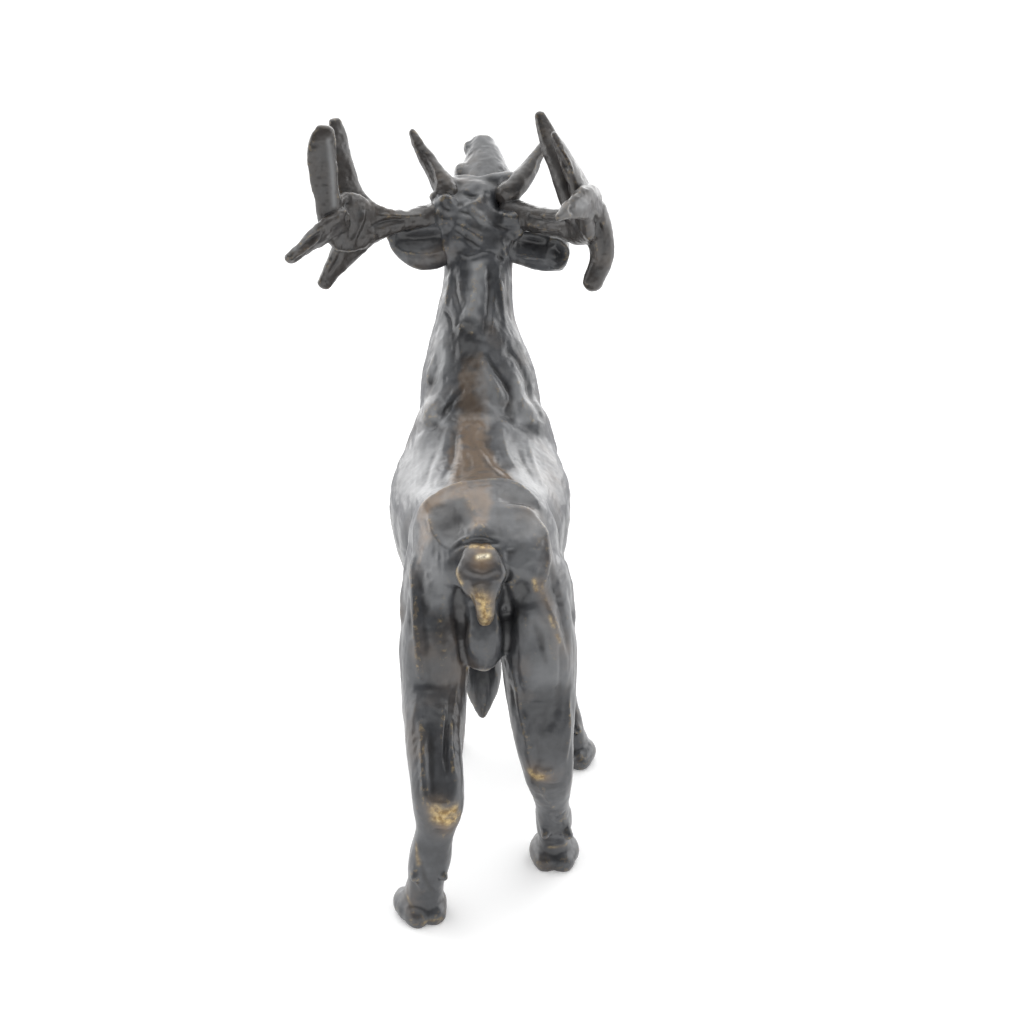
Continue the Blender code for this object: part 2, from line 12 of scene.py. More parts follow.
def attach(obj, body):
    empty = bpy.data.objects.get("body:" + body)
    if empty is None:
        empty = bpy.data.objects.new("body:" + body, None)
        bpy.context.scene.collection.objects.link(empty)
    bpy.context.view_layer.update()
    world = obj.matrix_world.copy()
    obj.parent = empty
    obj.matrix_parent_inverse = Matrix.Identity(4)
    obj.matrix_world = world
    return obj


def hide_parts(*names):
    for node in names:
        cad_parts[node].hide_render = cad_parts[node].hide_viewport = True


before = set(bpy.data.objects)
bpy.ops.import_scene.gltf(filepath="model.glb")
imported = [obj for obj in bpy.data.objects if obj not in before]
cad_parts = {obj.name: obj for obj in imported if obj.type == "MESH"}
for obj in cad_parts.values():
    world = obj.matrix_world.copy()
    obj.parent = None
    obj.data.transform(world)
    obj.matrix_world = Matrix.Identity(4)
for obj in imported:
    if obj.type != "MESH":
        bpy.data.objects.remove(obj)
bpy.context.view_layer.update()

MM = 0.001
# the stag's own axes: forward, to its right and up, from its rump; where the world's middle lies on them
MIDDLE_FORWARD = 40.735
MIDDLE_RIGHT = -4.533
# heights of the joints in the legs, and the tilted joint at the base of the neck
HIND_LEFT_SEAM = 32.6
HIND_RIGHT_SEAM = 31.4
FORE_SEAM = 29.6
NECK_SEAM = (63.4, -0.4, 66.2)
NECK_LEAN = 23.3
# grain of the remeshed skins
SKIN_VOXEL = 0.24
FINE_VOXEL = 0.17

# forward, top, bottom, height of the widest point, half width, shift to the right, squareness
TRUNK = (
    (1.5, 53.4, 48, 50.5, 4.6, 0.3, 2.2), (5, 56.6, 45.5, 50, 7.8, 0.4, 2.5),
    (9, 58.6, 42.6, 49.6, 9.6, 0.4, 2.8), (14, 60.2, 38, 48.8, 10.6, 0.4, 2.9),
    (19, 59.6, 34.4, 48.2, 10.6, 0.3, 2.6), (24, 58.4, 32.4, 48, 11.2, 0.1, 2.2),
    (30, 57.6, 31, 48.5, 12.6, 0, 2), (37, 57.8, 30, 49.5, 14, -0.1, 2),
    (45, 59.4, 29.6, 50, 14.6, -0.2, 2), (52, 61.8, 30.6, 50.5, 13.8, -0.2, 2),
    (58, 63, 32.6, 51.5, 12.2, 0, 2), (64, 63, 36.2, 51, 10, -0.1, 2), (69.5, 59, 41, 50.5, 7.4, 0, 2),
    (73, 54, 45, 49.5, 4, 0, 2),
)
# forward, right, up, half width, half thickness
NECK = (
    (57.5, -0.2, 50, 9.6, 9.6), (60.5, -0.1, 58, 10.4, 10.6), (63.6, -0.4, 65.5, 9.5, 9.6),
    (66.6, -0.8, 73, 7.1, 8.2), (69.2, -0.4, 80, 5.9, 6.9), (71.2, 0, 86, 6, 6.2),
)
HIND_LEFT = (
    (14, -6, 46, 5, 10.5), (10, -6.6, 38, 5.1, 9), (7, -6.9, 31.5, 4.7, 6.8), (1, -6.8, 26, 4, 4.8),
    (-2.6, -6.3, 21.5, 3.6, 3.6), (-3.2, -6.2, 18.6, 3.4, 3.1), (-2.6, -6.8, 14.5, 2.7, 2.6),
    (-1.8, -7.6, 9.8, 2.9, 3), (-1, -8.2, 6.2, 2.5, 2.7), (0, -8.7, 2.8, 2.8, 3.2),
)
HIND_RIGHT = (
    (14, 7.4, 46, 5.2, 10.5), (11, 8, 38, 5.4, 9), (10, 8.4, 31.5, 5.1, 6.6),
    (7.5, 8.8, 25.5, 4.4, 4.7), (6.6, 9.3, 20.5, 3.7, 3.5), (7.4, 9.8, 17.5, 3.2, 3),
    (10.2, 10.2, 12.5, 2.4, 2.4), (12.6, 10.6, 8.6, 2.6, 2.8), (14.4, 10.8, 5.4, 2.4, 2.6),
    (15.6, 10.9, 2.8, 2.8, 3.2),
)
FORE_RIGHT = (
    (54, 8.5, 42, 4.6, 7.4), (51.5, 10.2, 34, 4, 5.2), (53, 11.6, 27, 3.3, 3.7),
    (54, 13, 19.5, 3.1, 3.1), (52.2, 13.6, 13.5, 2.2, 2.4), (50.2, 14.4, 8.4, 2.6, 2.8),
    (50.4, 15, 5.4, 2.4, 2.6), (51.2, 15.4, 2.8, 2.8, 3.2),
)
FORE_LEFT = (
    (54, -8.5, 42, 4.6, 7.4), (51.5, -8.9, 34, 4, 5.2), (54.5, -8.8, 27, 3.3, 3.7),
    (57.5, -8.5, 19.5, 3.1, 3.1), (57.2, -8.3, 13.5, 2.3, 2.4), (55.8, -8.2, 8.4, 2.6, 2.8),
    (56.3, -8.1, 5.4, 2.4, 2.6), (57.4, -8, 2.8, 2.8, 3.2),
)
# middle forward, right, degrees toed out to the right
HOOVES = (
    (0.9, -9.2, -16), (16.6, 10.9, 2), (51.4, 15.8, 8), (57.8, -7.9, -4),
)
# one cloven toe: along, outwards, up, half width, half thickness
TOE = (
    (-3.3, 1.3, 1.3, 1.8, 1.8), (-1, 1.8, 1.7, 2, 2.2), (1.6, 1.7, 1.4, 1.8, 1.8),
    (3.8, 1.2, 0.8, 1.1, 1.2),
)
# the pair of small claws behind each fetlock
DEWCLAWS = (
    ((-3.2, -6, 9.6, 0.9, 0.9), (-4.4, -5.6, 8.4, 0.7, 0.7)),
    ((-3.4, -9.2, 9.6, 0.9, 0.9), (-4.6, -9.6, 8.4, 0.7, 0.7)),
    ((10.6, 9.4, 8.6, 0.8, 0.8), (9.4, 9.2, 7.4, 0.7, 0.7)),
    ((10.6, 12.2, 8.6, 0.8, 0.8), (9.4, 12.6, 7.4, 0.7, 0.7)),
    ((48.2, 13.2, 8.2, 0.8, 0.8), (47.2, 13, 7.2, 0.7, 0.7)),
    ((48.2, 15.8, 8.2, 0.8, 0.8), (47.2, 16.2, 7.2, 0.7, 0.7)),
    ((53.6, -6.8, 8.2, 0.8, 0.8), (52.6, -6.6, 7.2, 0.7, 0.7)),
    ((53.6, -9.6, 8.2, 0.8, 0.8), (52.6, -9.8, 7.2, 0.7, 0.7)),
)
SCROTUM = (
    (7.5, 0, 48, 2.6, 2.2), (5, 0, 44.8, 3, 2.6), (4.2, 0.1, 41.2, 3.3, 2.9),
    (4.8, 0.2, 38.6, 2.9, 2.6),
)
SHEATH = (
    (23, 0, 33, 2.8, 3.6), (21, 0, 29.5, 3.1, 2.8), (19.8, 0, 26.3, 2.4, 1.9),
    (19.2, 0, 22.8, 0.8, 0.8),
)
MUZZLE = (
    (72.5, 0.2, 90, 5.4, 5.6), (76.4, 0.7, 92.8, 5.5, 5), (79.8, 0.9, 95.8, 4.9, 4.3),
    (82.8, 0.8, 98.7, 3.7, 3.4), (85.2, 0.6, 100.9, 2.7, 2.6),
)
JAW = (
    (72.6, 0.1, 85.6, 4.4, 4), (76.6, 0.2, 87.4, 3.6, 2.8), (81, 0.4, 90.4, 2.8, 1.8),
    (84.4, 0.6, 93, 2, 1.3),
)
BROW = (
    (70.6, -6.4, 95, 1.6, 1.5), (71.8, -4.6, 95.8, 1.7, 1.5), (72.8, -0.6, 96.4, 1.4, 1.2),
    (72.4, 3.4, 96.9, 1.5, 1.4), (70.8, 6.4, 97, 1.5, 1.4),
)
FOREHEAD = (
    (67.2, -0.4, 83.6, 5, 1.8), (67.4, -0.6, 87.4, 6.2, 2.5), (69, -0.8, 91.4, 6.2, 2.6),
    (71.2, -0.8, 94.6, 6, 2.2), (73, -0.4, 96, 5.2, 1.6),
)
TAIL = (
    (6.8, -0.2, 53.8, 2.2, 1.5), (3.2, -0.2, 53.4, 2.5, 1.7), (1.1, -0.1, 51.8, 3.5, 1.5),
    (0.4, 0, 50.2, 2.9, 1.4), (0.3, 0.3, 48.2, 1.7, 1.3), (0.7, 0.5, 46.2, 1.3, 1.2),
    (1.6, 0.5, 44.8, 1, 1),
)
EAR_LEFT = (
    (68.2, -4.4, 87.4, 3, 1.5), (67.4, -7.2, 86.9, 4.2, 1.4), (66.6, -10, 86.6, 3.9, 1.2),
    (65.8, -12.6, 87.4, 2.7, 1), (65.2, -14.6, 88.8, 1.2, 0.8),
)
EAR_RIGHT = (
    (68.4, 4.4, 86.6, 2.6, 1.7), (69, 7.6, 85.9, 3, 1.5), (69, 10.8, 85.2, 3.2, 1.4),
    (68.8, 13.7, 84.9, 2.9, 1.4),
)
# each antler is a fan of limbs: direction in which it is broad, and its rows
ANTLER_LEFT = (
    ((0, 0, 1), (
        (69.6, -5.4, 91.8, 2.4, 2.2), (67.4, -9, 91.4, 1.8, 1.7), (65.4, -12, 91.2, 1.6, 1.5),
        (63.4, -15, 91.1, 2.3, 1.4), (61.4, -17.6, 91.2, 3.5, 1.3), (59.2, -20, 91.4, 4.5, 1.2),
        (57, -22.2, 92, 4.6, 1.1), (55, -23.8, 92.8, 3.4, 1.1),
    )),
    ((1, 0.6, 0), (
        (60.6, -19, 92.5, 2.6, 1.2), (61.2, -21, 96, 2.2, 1), (62, -22, 100.5, 1.8, 0.9),
        (63, -22.8, 104.6, 1.6, 0.8), (63.4, -23.2, 107, 1.1, 0.7),
    )),
    ((1, 0.35, 0), (
        (55.6, -23.2, 91.5, 2.2, 1.2), (54.2, -24.2, 96.5, 2.1, 0.9), (53.2, -24.6, 101.5, 2.4, 0.8),
        (52.9, -24.4, 104.8, 2.1, 0.8), (52.9, -24, 106.6, 1.4, 0.8),
    )),
    ((0, 1, 1), (
        (56.2, -22, 92, 2.8, 1.3), (53, -25.2, 90.6, 2.5, 1.1), (51.2, -27.8, 88.7, 1.8, 0.9),
        (49.8, -29.8, 87.2, 1.1, 0.8),
    )),
    ((1, 0.3, 0), (
        (60, -19.6, 90.4, 3.8, 1.4), (60.4, -21.8, 87, 2.6, 1.2), (60.8, -24.2, 83.6, 1.7, 1.1),
        (60.8, -25.6, 81.5, 1.2, 1),
    )),
    ((0, 1, 0), (
        (61.8, -17.2, 93, 1.2, 1), (61.6, -19.2, 95.2, 0.8, 0.8),
    )),
    ((0, 1, 0), (
        (70.6, -5.4, 95, 2.6, 2), (72, -6.8, 97.4, 2.3, 1.7), (73.2, -8.8, 100.4, 1.5, 1.3),
        (74.2, -10.4, 102.8, 1.1, 1), (74.8, -11.3, 104.4, 0.7, 0.7),
    )),
    ((0, 1, 0), (
        (69, -6.6, 93.4, 1.3, 1.3), (69.4, -7.4, 94.4, 0.9, 0.9),
    )),
)
ANTLER_RIGHT = (
    ((0, 0, 1), (
        (69.6, 5.2, 91.6, 2.6, 2.2), (66.4, 9.5, 91, 2.1, 1.9), (63, 13.4, 90.8, 2.4, 1.8),
        (60, 15.8, 91.4, 3.9, 1.7), (57, 17, 93.2, 4.5, 1.5), (54.4, 16.8, 94.8, 3.1, 1.4),
    )),
    ((1, 0.6, 0), (
        (60, 16.4, 93, 3, 1.7), (60.6, 14.6, 97.4, 2.6, 1.8), (61.6, 12.6, 101.4, 2, 1.6),
        (62.6, 10.9, 105.2, 1.5, 1.1), (63.2, 9.8, 108.1, 0.9, 0.7),
    )),
    ((0.3, 1, 0), (
        (57.6, 17.2, 93, 3.4, 1.8), (57, 15.8, 97.6, 3, 1.4), (56.6, 13.9, 101.6, 2.3, 1.1),
        (56.4, 12.4, 104.4, 1.3, 0.8), (56.4, 11.8, 105.6, 0.7, 0.6),
    )),
    ((0, 0, 1), (
        (57, 17.6, 94.6, 3.2, 2), (53.8, 17, 95.2, 2.8, 1.7), (50.8, 15.4, 95.2, 2.2, 1.4),
        (48.2, 13.6, 94.6, 1.4, 1), (46.8, 12.2, 93.8, 0.7, 0.6),
    )),
    ((1, 0, 0), (
        (58.5, 17.4, 93, 3.2, 2), (59.2, 19.4, 89.2, 2.4, 2.1), (59.6, 19.8, 85.4, 1.9, 1.9),
        (59.2, 18.4, 81.8, 1.7, 1.6),
    )),
    ((0, 1, 0), (
        (70.2, 4.4, 94.8, 2.8, 2), (71.4, 6.4, 96.4, 3, 1.9), (72.6, 8.4, 98.8, 2, 1.5),
        (73.8, 10, 101.2, 1.2, 1), (74.6, 11, 102.9, 0.7, 0.7),
    )),
)

def at(forward, right, up):
    """World position, in metres, of a point given in the stag's own millimetres."""
    return Vector((MIDDLE_RIGHT - right, MIDDLE_FORWARD - forward, up)) * MM


def smoothed(rows, steps=8):
    """The rows with Catmull-Rom rows put between them."""
    rows = np.array(rows, float)
    ends = np.vstack([2 * rows[0] - rows[1], rows, 2 * rows[-1] - rows[-2]])
    made = []
    for i in range(len(rows) - 1):
        a, b, c, d = ends[i : i + 4]
        for t in np.arange(steps) / steps:
            bend = (2 * a - 5 * b + 4 * c - d) * t**2 + (3 * b - a - 3 * c + d) * t**3
            made.append(0.5 * (2 * b + (c - a) * t + bend))
    made.append(rows[-1])
    return np.array(made)


def skin_rings(body, rings):
    """Lofts a stack of rings into one closed tube, each end drawn to a point."""
    loops = [[body.verts.new(point) for point in ring] for ring in rings]
    for low, high in zip(loops, loops[1:]):
        for i in range(len(low)):
            j = (i + 1) % len(low)
            body.faces.new((low[i], low[j], high[j], high[i]))
    for loop, turn in ((loops[0], -1), (loops[-1], 1)):
        tip = body.verts.new(sum((v.co for v in loop), Vector()) / len(loop))
        for i in range(len(loop)):
            j = (i + 1) % len(loop)
            body.faces.new((loop[i], loop[j], tip)[::turn])


def bulged(value, square):
    """A cosine or sine drawn out so that the oval it makes becomes squarer."""
    return math.copysign(abs(value) ** (2 / square), value)


def ring_of(middle, wide, thin, sides, square=2.0):
    angles = [math.tau * i / sides for i in range(sides)]
    return [
        middle + wide * bulged(math.cos(a), square) + thin * bulged(math.sin(a), square)
        for a in angles
    ]


def add_barrel(body, stations, sides=72):
    """A trunk lofted through upright sections, each with its own top, bottom and widest height."""
    rings = []
    for forward, top, bottom, widest, half, shift, square in smoothed(stations):
        ring = []
        for i in range(sides):
            a = math.tau * i / sides
            above = math.sin(a) > 0
            rise = top - widest if above else widest - bottom
            corner = square if above else 2.0
            right = shift + half * bulged(math.cos(a), corner)
            ring.append(at(forward, right, widest + rise * bulged(math.sin(a), corner)))
        rings.append(ring)
    skin_rings(body, rings)


def add_limb(body, rows, across=(1, 0, 0), sides=36, square=2.0):
    """A round-ended limb lofted through elliptical sections, broad in the direction `across`."""
    rows = smoothed(rows)
    middles = [at(*row[:3]) for row in rows]
    broad = Vector(across)
    rings = []
    last = len(rows) - 1
    for i, (middle, row) in enumerate(zip(middles, rows)):
        along = (middles[min(i + 1, last)] - middles[max(i - 1, 0)]).normalized()
        wide = (broad - along * broad.dot(along)).normalized()
        thin = along.cross(wide)
        half_wide = row[3] * MM
        half_thin = row[4] * MM
        reach = along * min(half_wide, half_thin)
        caps = (0,)
        if i == 0:
            caps = (-75, -50, -25, 0)
        elif i == last:
            caps = (0, 25, 50, 75)
        for cap in caps:
            a = math.radians(cap)
            shrink = math.cos(a)
            centre = middle + reach * math.sin(a)
            broadside = wide * half_wide * shrink
            rings.append(ring_of(centre, broadside, thin * half_thin * shrink, sides, square))
    skin_rings(body, rings)


def add_ball(body, middle, radii, tilt=0.0):
    """An ellipsoid with radii along forward, right and up, tilted nose-up."""
    turn = Matrix.Rotation(math.radians(-tilt), 4, "X")
    size = Matrix.Diagonal((radii[1] * MM, radii[0] * MM, radii[2] * MM, 1))
    place = Matrix.Translation(at(*middle)) @ turn @ size
    bmesh.ops.create_uvsphere(body, u_segments=48, v_segments=32, radius=1, matrix=place)


def add_fan(body, limbs):
    """Several limbs, each with the direction in which it is broad."""
    for across, rows in limbs:
        add_limb(body, rows, across=across, square=2.5)


def add_hoof(body, forward, right, toed_out):
    """A cloven hoof: two toes side by side."""
    a = math.radians(toed_out)
    for side in (-1, 1):
        rows = []
        for along, out, up, half, thick in TOE:
            ahead = forward + along * math.cos(a) - side * out * math.sin(a)
            aside = right + along * math.sin(a) + side * out * math.cos(a)
            rows.append((ahead, aside, up, half, thick))
        add_limb(body, rows)


def placed(name, data):
    """A new object in the scene."""
    made = bpy.data.objects.new(name, data)
    bpy.context.scene.collection.objects.link(made)
    return made


def pressed(add_masses, name, voxel, rubs):
    """One dense skin over overlapping clay masses, fused and rubbed smooth."""
    body = bmesh.new()
    add_masses(body)
    bmesh.ops.recalc_face_normals(body, faces=body.faces)
    clay = bpy.data.meshes.new(name + "_clay")
    body.to_mesh(clay)
    body.free()
    lump = placed(name + "_clay", clay)
    fuse = lump.modifiers.new("fuse", "REMESH")
    fuse.mode = "VOXEL"
    fuse.voxel_size = voxel * MM
    rub = lump.modifiers.new("rub", "SMOOTH")
    rub.factor = 0.5
    rub.iterations = max(1, round(rubs * (0.24 / voxel) ** 2))
    graph = bpy.context.evaluated_depsgraph_get()
    mesh = bpy.data.meshes.new_from_object(lump.evaluated_get(graph))
    mesh.name = name
    bpy.data.objects.remove(lump)
    return mesh


# gold and brown are worn metal and patina bloom; bright is worn metal partly painted as a highlight; the
# near-black mark is painted shade and pale paints highlights
MARKS = ("gold", "brown", "bright", "painted_shade", "pale")
# the axis looked along, the place looked from on it, and the way
VIEWS = {
    "behind": (0, -60, 1),
    "front": (0, 160, -1),
    "above": (2, 160, -1),
    "left": (1, -80, 1),
    "right": (1, 80, -1),
}


class Wax:
    """A dense closed skin that is worked in the stag's own millimetres, with painted marks on it."""

    def __init__(self, mesh):
        self.mesh = mesh
        flat = np.empty(len(mesh.vertices) * 3, np.float32)
        mesh.vertices.foreach_get("co", flat)
        self.points = figure_from_world(flat.reshape(-1, 3))
        edges = np.empty(len(mesh.edges) * 2, np.int32)
        mesh.edges.foreach_get("vertices", edges)
        self.edges = edges.reshape(-1, 2)
        self.valence = np.bincount(self.edges.ravel(), minlength=len(self.points))
        self.marks = {name: np.zeros(len(self.points)) for name in MARKS}
        self.refresh()

    def refresh(self):
        """Writes the points back and reads the new normals."""
        self.mesh.vertices.foreach_set("co", world_from_figure(self.points).astype(np.float32).ravel())
        self.mesh.update()
        flat = np.empty(len(self.points) * 3, np.float32)
        self.mesh.vertex_normals.foreach_get("vector", flat)
        normals = flat.reshape(-1, 3)
        self.normals = np.column_stack((-normals[:, 1], -normals[:, 0], normals[:, 2]))
        self.tree = BVHTree.FromPolygons(
            [Vector(p) for p in self.points.tolist()], [p.vertices for p in self.mesh.polygons]
        )

    def snapped(self, path, seen_from):
        """A path drawn on the surface: flat points pushed in until they touch it."""
        axis, start, way = VIEWS[seen_from]
        ray = np.zeros(3)
        ray[axis] = way
        made = []
        for point in path:
            origin = np.insert(np.array(point, float), axis, start)
            hit = self.tree.ray_cast(Vector(origin), Vector(ray))[0]
            if hit is not None:
                made.append(np.array(hit))
        return made

    def reach(self, path, width):
        """For the points within reach of a path: which, how far off, how far along, and on which side."""
        path = np.array(path, float)
        if len(path) < 2:
            path = np.vstack([path, path + 0.01])
        margin = width * 3.2
        near = np.all((self.points > path.min(0) - margin) & (self.points < path.max(0) + margin), axis=1)
        which = np.nonzero(near)[0]
        here = self.points[which]
        best = np.full(len(which), 1e9)
        along = np.zeros(len(which))
        side = np.zeros(len(which))
        lengths = np.linalg.norm(np.diff(path, axis=0), axis=1)
        starts = np.concatenate([[0.0], np.cumsum(lengths)])
        for k in range(len(path) - 1):
            way = (path[k + 1] - path[k]) / max(lengths[k], 1e-6)
            off = here - path[k]
            t = np.clip(off @ way, 0, lengths[k])
            gap = off - t[:, None] * way
            far = np.linalg.norm(gap, axis=1)
            closer = far < best
            best[closer] = far[closer]
            along[closer] = ((starts[k] + t) / starts[-1])[closer]
            cross = np.cross(np.broadcast_to(way, gap.shape), self.normals[which])
            side[closer] = np.einsum("ij,ij->i", gap, cross)[closer]
        return which, best, along, side

    def stroke(self, path, width, height, seen_from, kind="round"):
        """One tool stroke: a rounded ridge or groove, a sharp crease with lips, or a raised flap edge."""
        path = self.snapped(path, seen_from)
        if len(path) == 0:
            return
        if len(path) > 2:
            path = smoothed(path, 5)
        which, far, along, side = self.reach(path, width)
        ends = np.clip(np.sin(np.pi * np.clip(along, 0, 1)), 0, 1) ** 0.6
        if kind == "round":
            lift = height * np.exp(-((far / width) ** 2))
        elif kind == "crease":
            lift = -height * np.exp(-((far / (0.55 * width)) ** 2))
            lift += 0.4 * height * np.exp(-(((far - 1.35 * width) / (0.6 * width)) ** 2))
        else:
            across = side / width
            outer = np.exp(-((across / 2.2) ** 2))
            lift = height * np.where(across > 0, outer, np.exp(-((across / 0.35) ** 2)))
            lift = np.where(far < 3.0 * width, lift, 0.0)
        self.points[which] += self.normals[which] * (lift * ends)[:, None]

    def strokes(self, rows, seen_from):
        for view in ("left", "right") if seen_from == "sides" else (seen_from,):
            for width, height, path, *kind in rows:
                self.stroke(path, width, height, view, *kind)

    def dent(self, seen_from, middle, radii, depth):
        """Presses an oval hollow, or with a negative depth raises a swelling."""
        if seen_from:
            middle = self.snapped([middle], seen_from)[0]
        off = (self.points - np.array(middle)) / np.array(radii, float)
        fall = np.exp(-np.einsum("ij,ij->i", off, off))
        self.points -= self.normals * (depth * fall)[:, None]

    def facet(self, seen_from, middle, radius, strength=0.75):
        """Flattens a round area towards its mean plane, as a spatula or file does."""
        off = self.points - self.snapped([middle], seen_from)[0]
        far = np.linalg.norm(off, axis=1)
        near = far < radius
        way = self.normals[near].mean(0)
        way /= np.linalg.norm(way)
        height = off[near] @ way
        weight = strength * (1 - (far[near] / radius) ** 2) ** 1.2
        self.points[near] += way * ((np.average(height) - height) * weight)[:, None]

    def patch(self, seen_from, blur, lift, mark, amount, corners, ragged=0.5):
        """Raises or sinks a flat-edged plane and colours it; the corners are given as seen from one side."""
        axis, start, way = VIEWS[seen_from]
        facing = -way * self.normals[:, axis]
        columns = [k for k in range(3) if k != axis]
        corners = np.array(corners, float)
        flat = self.points[:, columns]
        near = np.all((flat > corners.min(0) - 2.5) & (flat < corners.max(0) + 2.5), axis=1)
        near &= facing > 0.05
        if seen_from == "behind":
            front = 40.0 if corners[:, 1].mean() < 58 else 90.0
            near &= self.points[:, 0] < front
        which = np.nonzero(near)[0]
        here = flat[which]
        inside = np.zeros(len(which), bool)
        gap = np.full(len(which), 1e9)
        for a, b in zip(corners, np.roll(corners, -1, axis=0)):
            way = b - a
            t = np.clip(((here - a) @ way) / (way @ way), 0, 1)
            gap = np.minimum(gap, np.linalg.norm(here - a - t[:, None] * way, axis=1))
            crosses = (a[1] > here[:, 1]) != (b[1] > here[:, 1])
            rise = b[1] - a[1] if b[1] != a[1] else 1e-9
            inside ^= crosses & (here[:, 0] < a[0] + (here[:, 1] - a[1]) * way[0] / rise)
        depth = np.where(inside, gap, -gap)
        turned = np.clip(2.2 * facing[which], 0, 1)
        level = turned * np.clip(0.5 + depth / (2 * blur), 0, 1)
        self.points[which] += self.normals[which] * (lift * level * level * (3 - 2 * level))[:, None]
        if mark:
            depth = depth + ragged * cloud(self.points[which] / 1.1, 21)
            level = turned * np.clip(0.5 + depth / (2 * blur), 0, 1) * amount
            self.marks[mark][which] = np.maximum(self.marks[mark][which], level)

    def soften(self, test, times):
        """Rubs down the area where the test gives more than nothing."""
        share = test(*self.points.T)[:, None]
        for _ in range(times):
            self.points += 0.5 * share * (self.averaged(self.points) - self.points)

    def paint(self, rows):
        """Colours along paths seen from behind: mark, width, amount, path."""
        for mark, width, amount, path in rows:
            path = self.snapped(path, "behind")
            if path:
                which, far, _, _ = self.reach(path, width)
                value = amount * np.exp(-((far / width) ** 2))
                self.marks[mark][which] = np.maximum(self.marks[mark][which], value)

    def averaged(self, values):
        """The mean of each point's neighbours."""
        a, b = self.edges[:, 0], self.edges[:, 1]
        if values.ndim == 1:
            total = np.bincount(a, values[b], len(values)) + np.bincount(b, values[a], len(values))
            return total / self.valence
        return np.column_stack([self.averaged(values[:, k]) for k in range(values.shape[1])])

    def roughen(self, size, height, seed, stretch=(1, 1, 1), sharp=False, where=None):
        """Unevenness of the given size and height, all over or where the test says."""
        rise = cloud(self.points / (size * np.array(stretch)), seed)
        if sharp:
            rise = 1 - 2 * np.abs(rise)
        if where:
            rise = rise * where(*self.points.T)
        self.points += self.normals * (height * rise)[:, None]

    def relax(self, times, strength=0.5):
        for _ in range(times):
            self.points += strength * (self.averaged(self.points) - self.points)

    def worn(self):
        """How much each point stands proud of or lies below its surroundings, from -1 to 1."""
        self.refresh()
        bump = np.einsum("ij,ij->i", self.points - self.averaged(self.points), self.normals)
        for _ in range(6):
            bump = self.averaged(bump)
        scale = np.percentile(np.abs(bump), 96)
        return np.clip(bump / scale, -1, 1)

    def finished(self):
        """The mesh with its marks stored on it."""
        proud = self.worn()
        self.marks["edge"] = np.clip(proud, 0, 1)
        # how far each point lies in a recess, used to paint shade into the hollows
        self.marks["hollow"] = np.clip(-proud, 0, 1)
        for name, values in self.marks.items():
            store = self.mesh.attributes.new(name, "FLOAT", "POINT")
            store.data.foreach_set("value", np.clip(values, 0, 1).astype(np.float32))
        self.mesh.shade_smooth()
        return self.mesh


def figure_from_world(points):
    points = points / MM
    forward = MIDDLE_FORWARD - points[:, 1]
    return np.column_stack((forward, MIDDLE_RIGHT - points[:, 0], points[:, 2])).astype(float)


def world_from_figure(points):
    across = MIDDLE_RIGHT - points[:, 1]
    return np.column_stack((across, MIDDLE_FORWARD - points[:, 0], points[:, 2])) * MM


def scrambled(cells, seed):
    """A steady pseudo-random number from -1 to 1 for each cell of a grid."""
    mixed = cells[..., 0] * 73856093 ^ cells[..., 1] * 19349663
    mixed = mixed ^ cells[..., 2] * 83492791 ^ (seed * 2654435)
    mixed = (mixed ^ (mixed >> 13)) * 1274126177
    return ((mixed ^ (mixed >> 16)) & 0xFFFF) / 32767.5 - 1.0


def cloud(points, seed):
    """Smooth value noise, about -1 to 1."""
    cell = np.floor(points).astype(np.int64)
    part = points - cell
    part = part * part * (3 - 2 * part)
    total = np.zeros(len(points))
    for corner in np.ndindex(2, 2, 2):
        corner = np.array(corner)
        share = np.prod(np.where(corner, part, 1 - part), axis=1)
        total += share * scrambled(cell + corner, seed)
    return total
def add_body(body):
    """Trunk, neck, legs and hooves, with the swellings of haunch and shoulder."""
    add_barrel(body, TRUNK)
    for rows in (NECK, SCROTUM, SHEATH):
        add_limb(body, rows)
    for rows in (HIND_LEFT, HIND_RIGHT, FORE_RIGHT, FORE_LEFT):
        add_limb(body, rows, square=2.9)
    for hoof in HOOVES:
        add_hoof(body, *hoof)
    for rows in DEWCLAWS:
        add_limb(body, rows)
    # haunches, hip bones and shoulders
    add_ball(body, (12.5, -6.0, 44.0), (10.0, 5.2, 12.0), tilt=-15)
    add_ball(body, (12.5, 6.8, 42.5), (10.0, 5.6, 11.0), tilt=-15)
    add_ball(body, (6.4, 6.4, 50.6), (4.0, 3.8, 6.4))
    add_ball(body, (67.5, 0.0, 57.5), (5.6, 7.6, 10.0), tilt=-20)
    add_ball(body, (57.0, -7.4, 51.0), (8.5, 4.8, 13.0), tilt=18)
    add_ball(body, (57.0, 7.6, 51.0), (8.5, 4.8, 13.0), tilt=18)


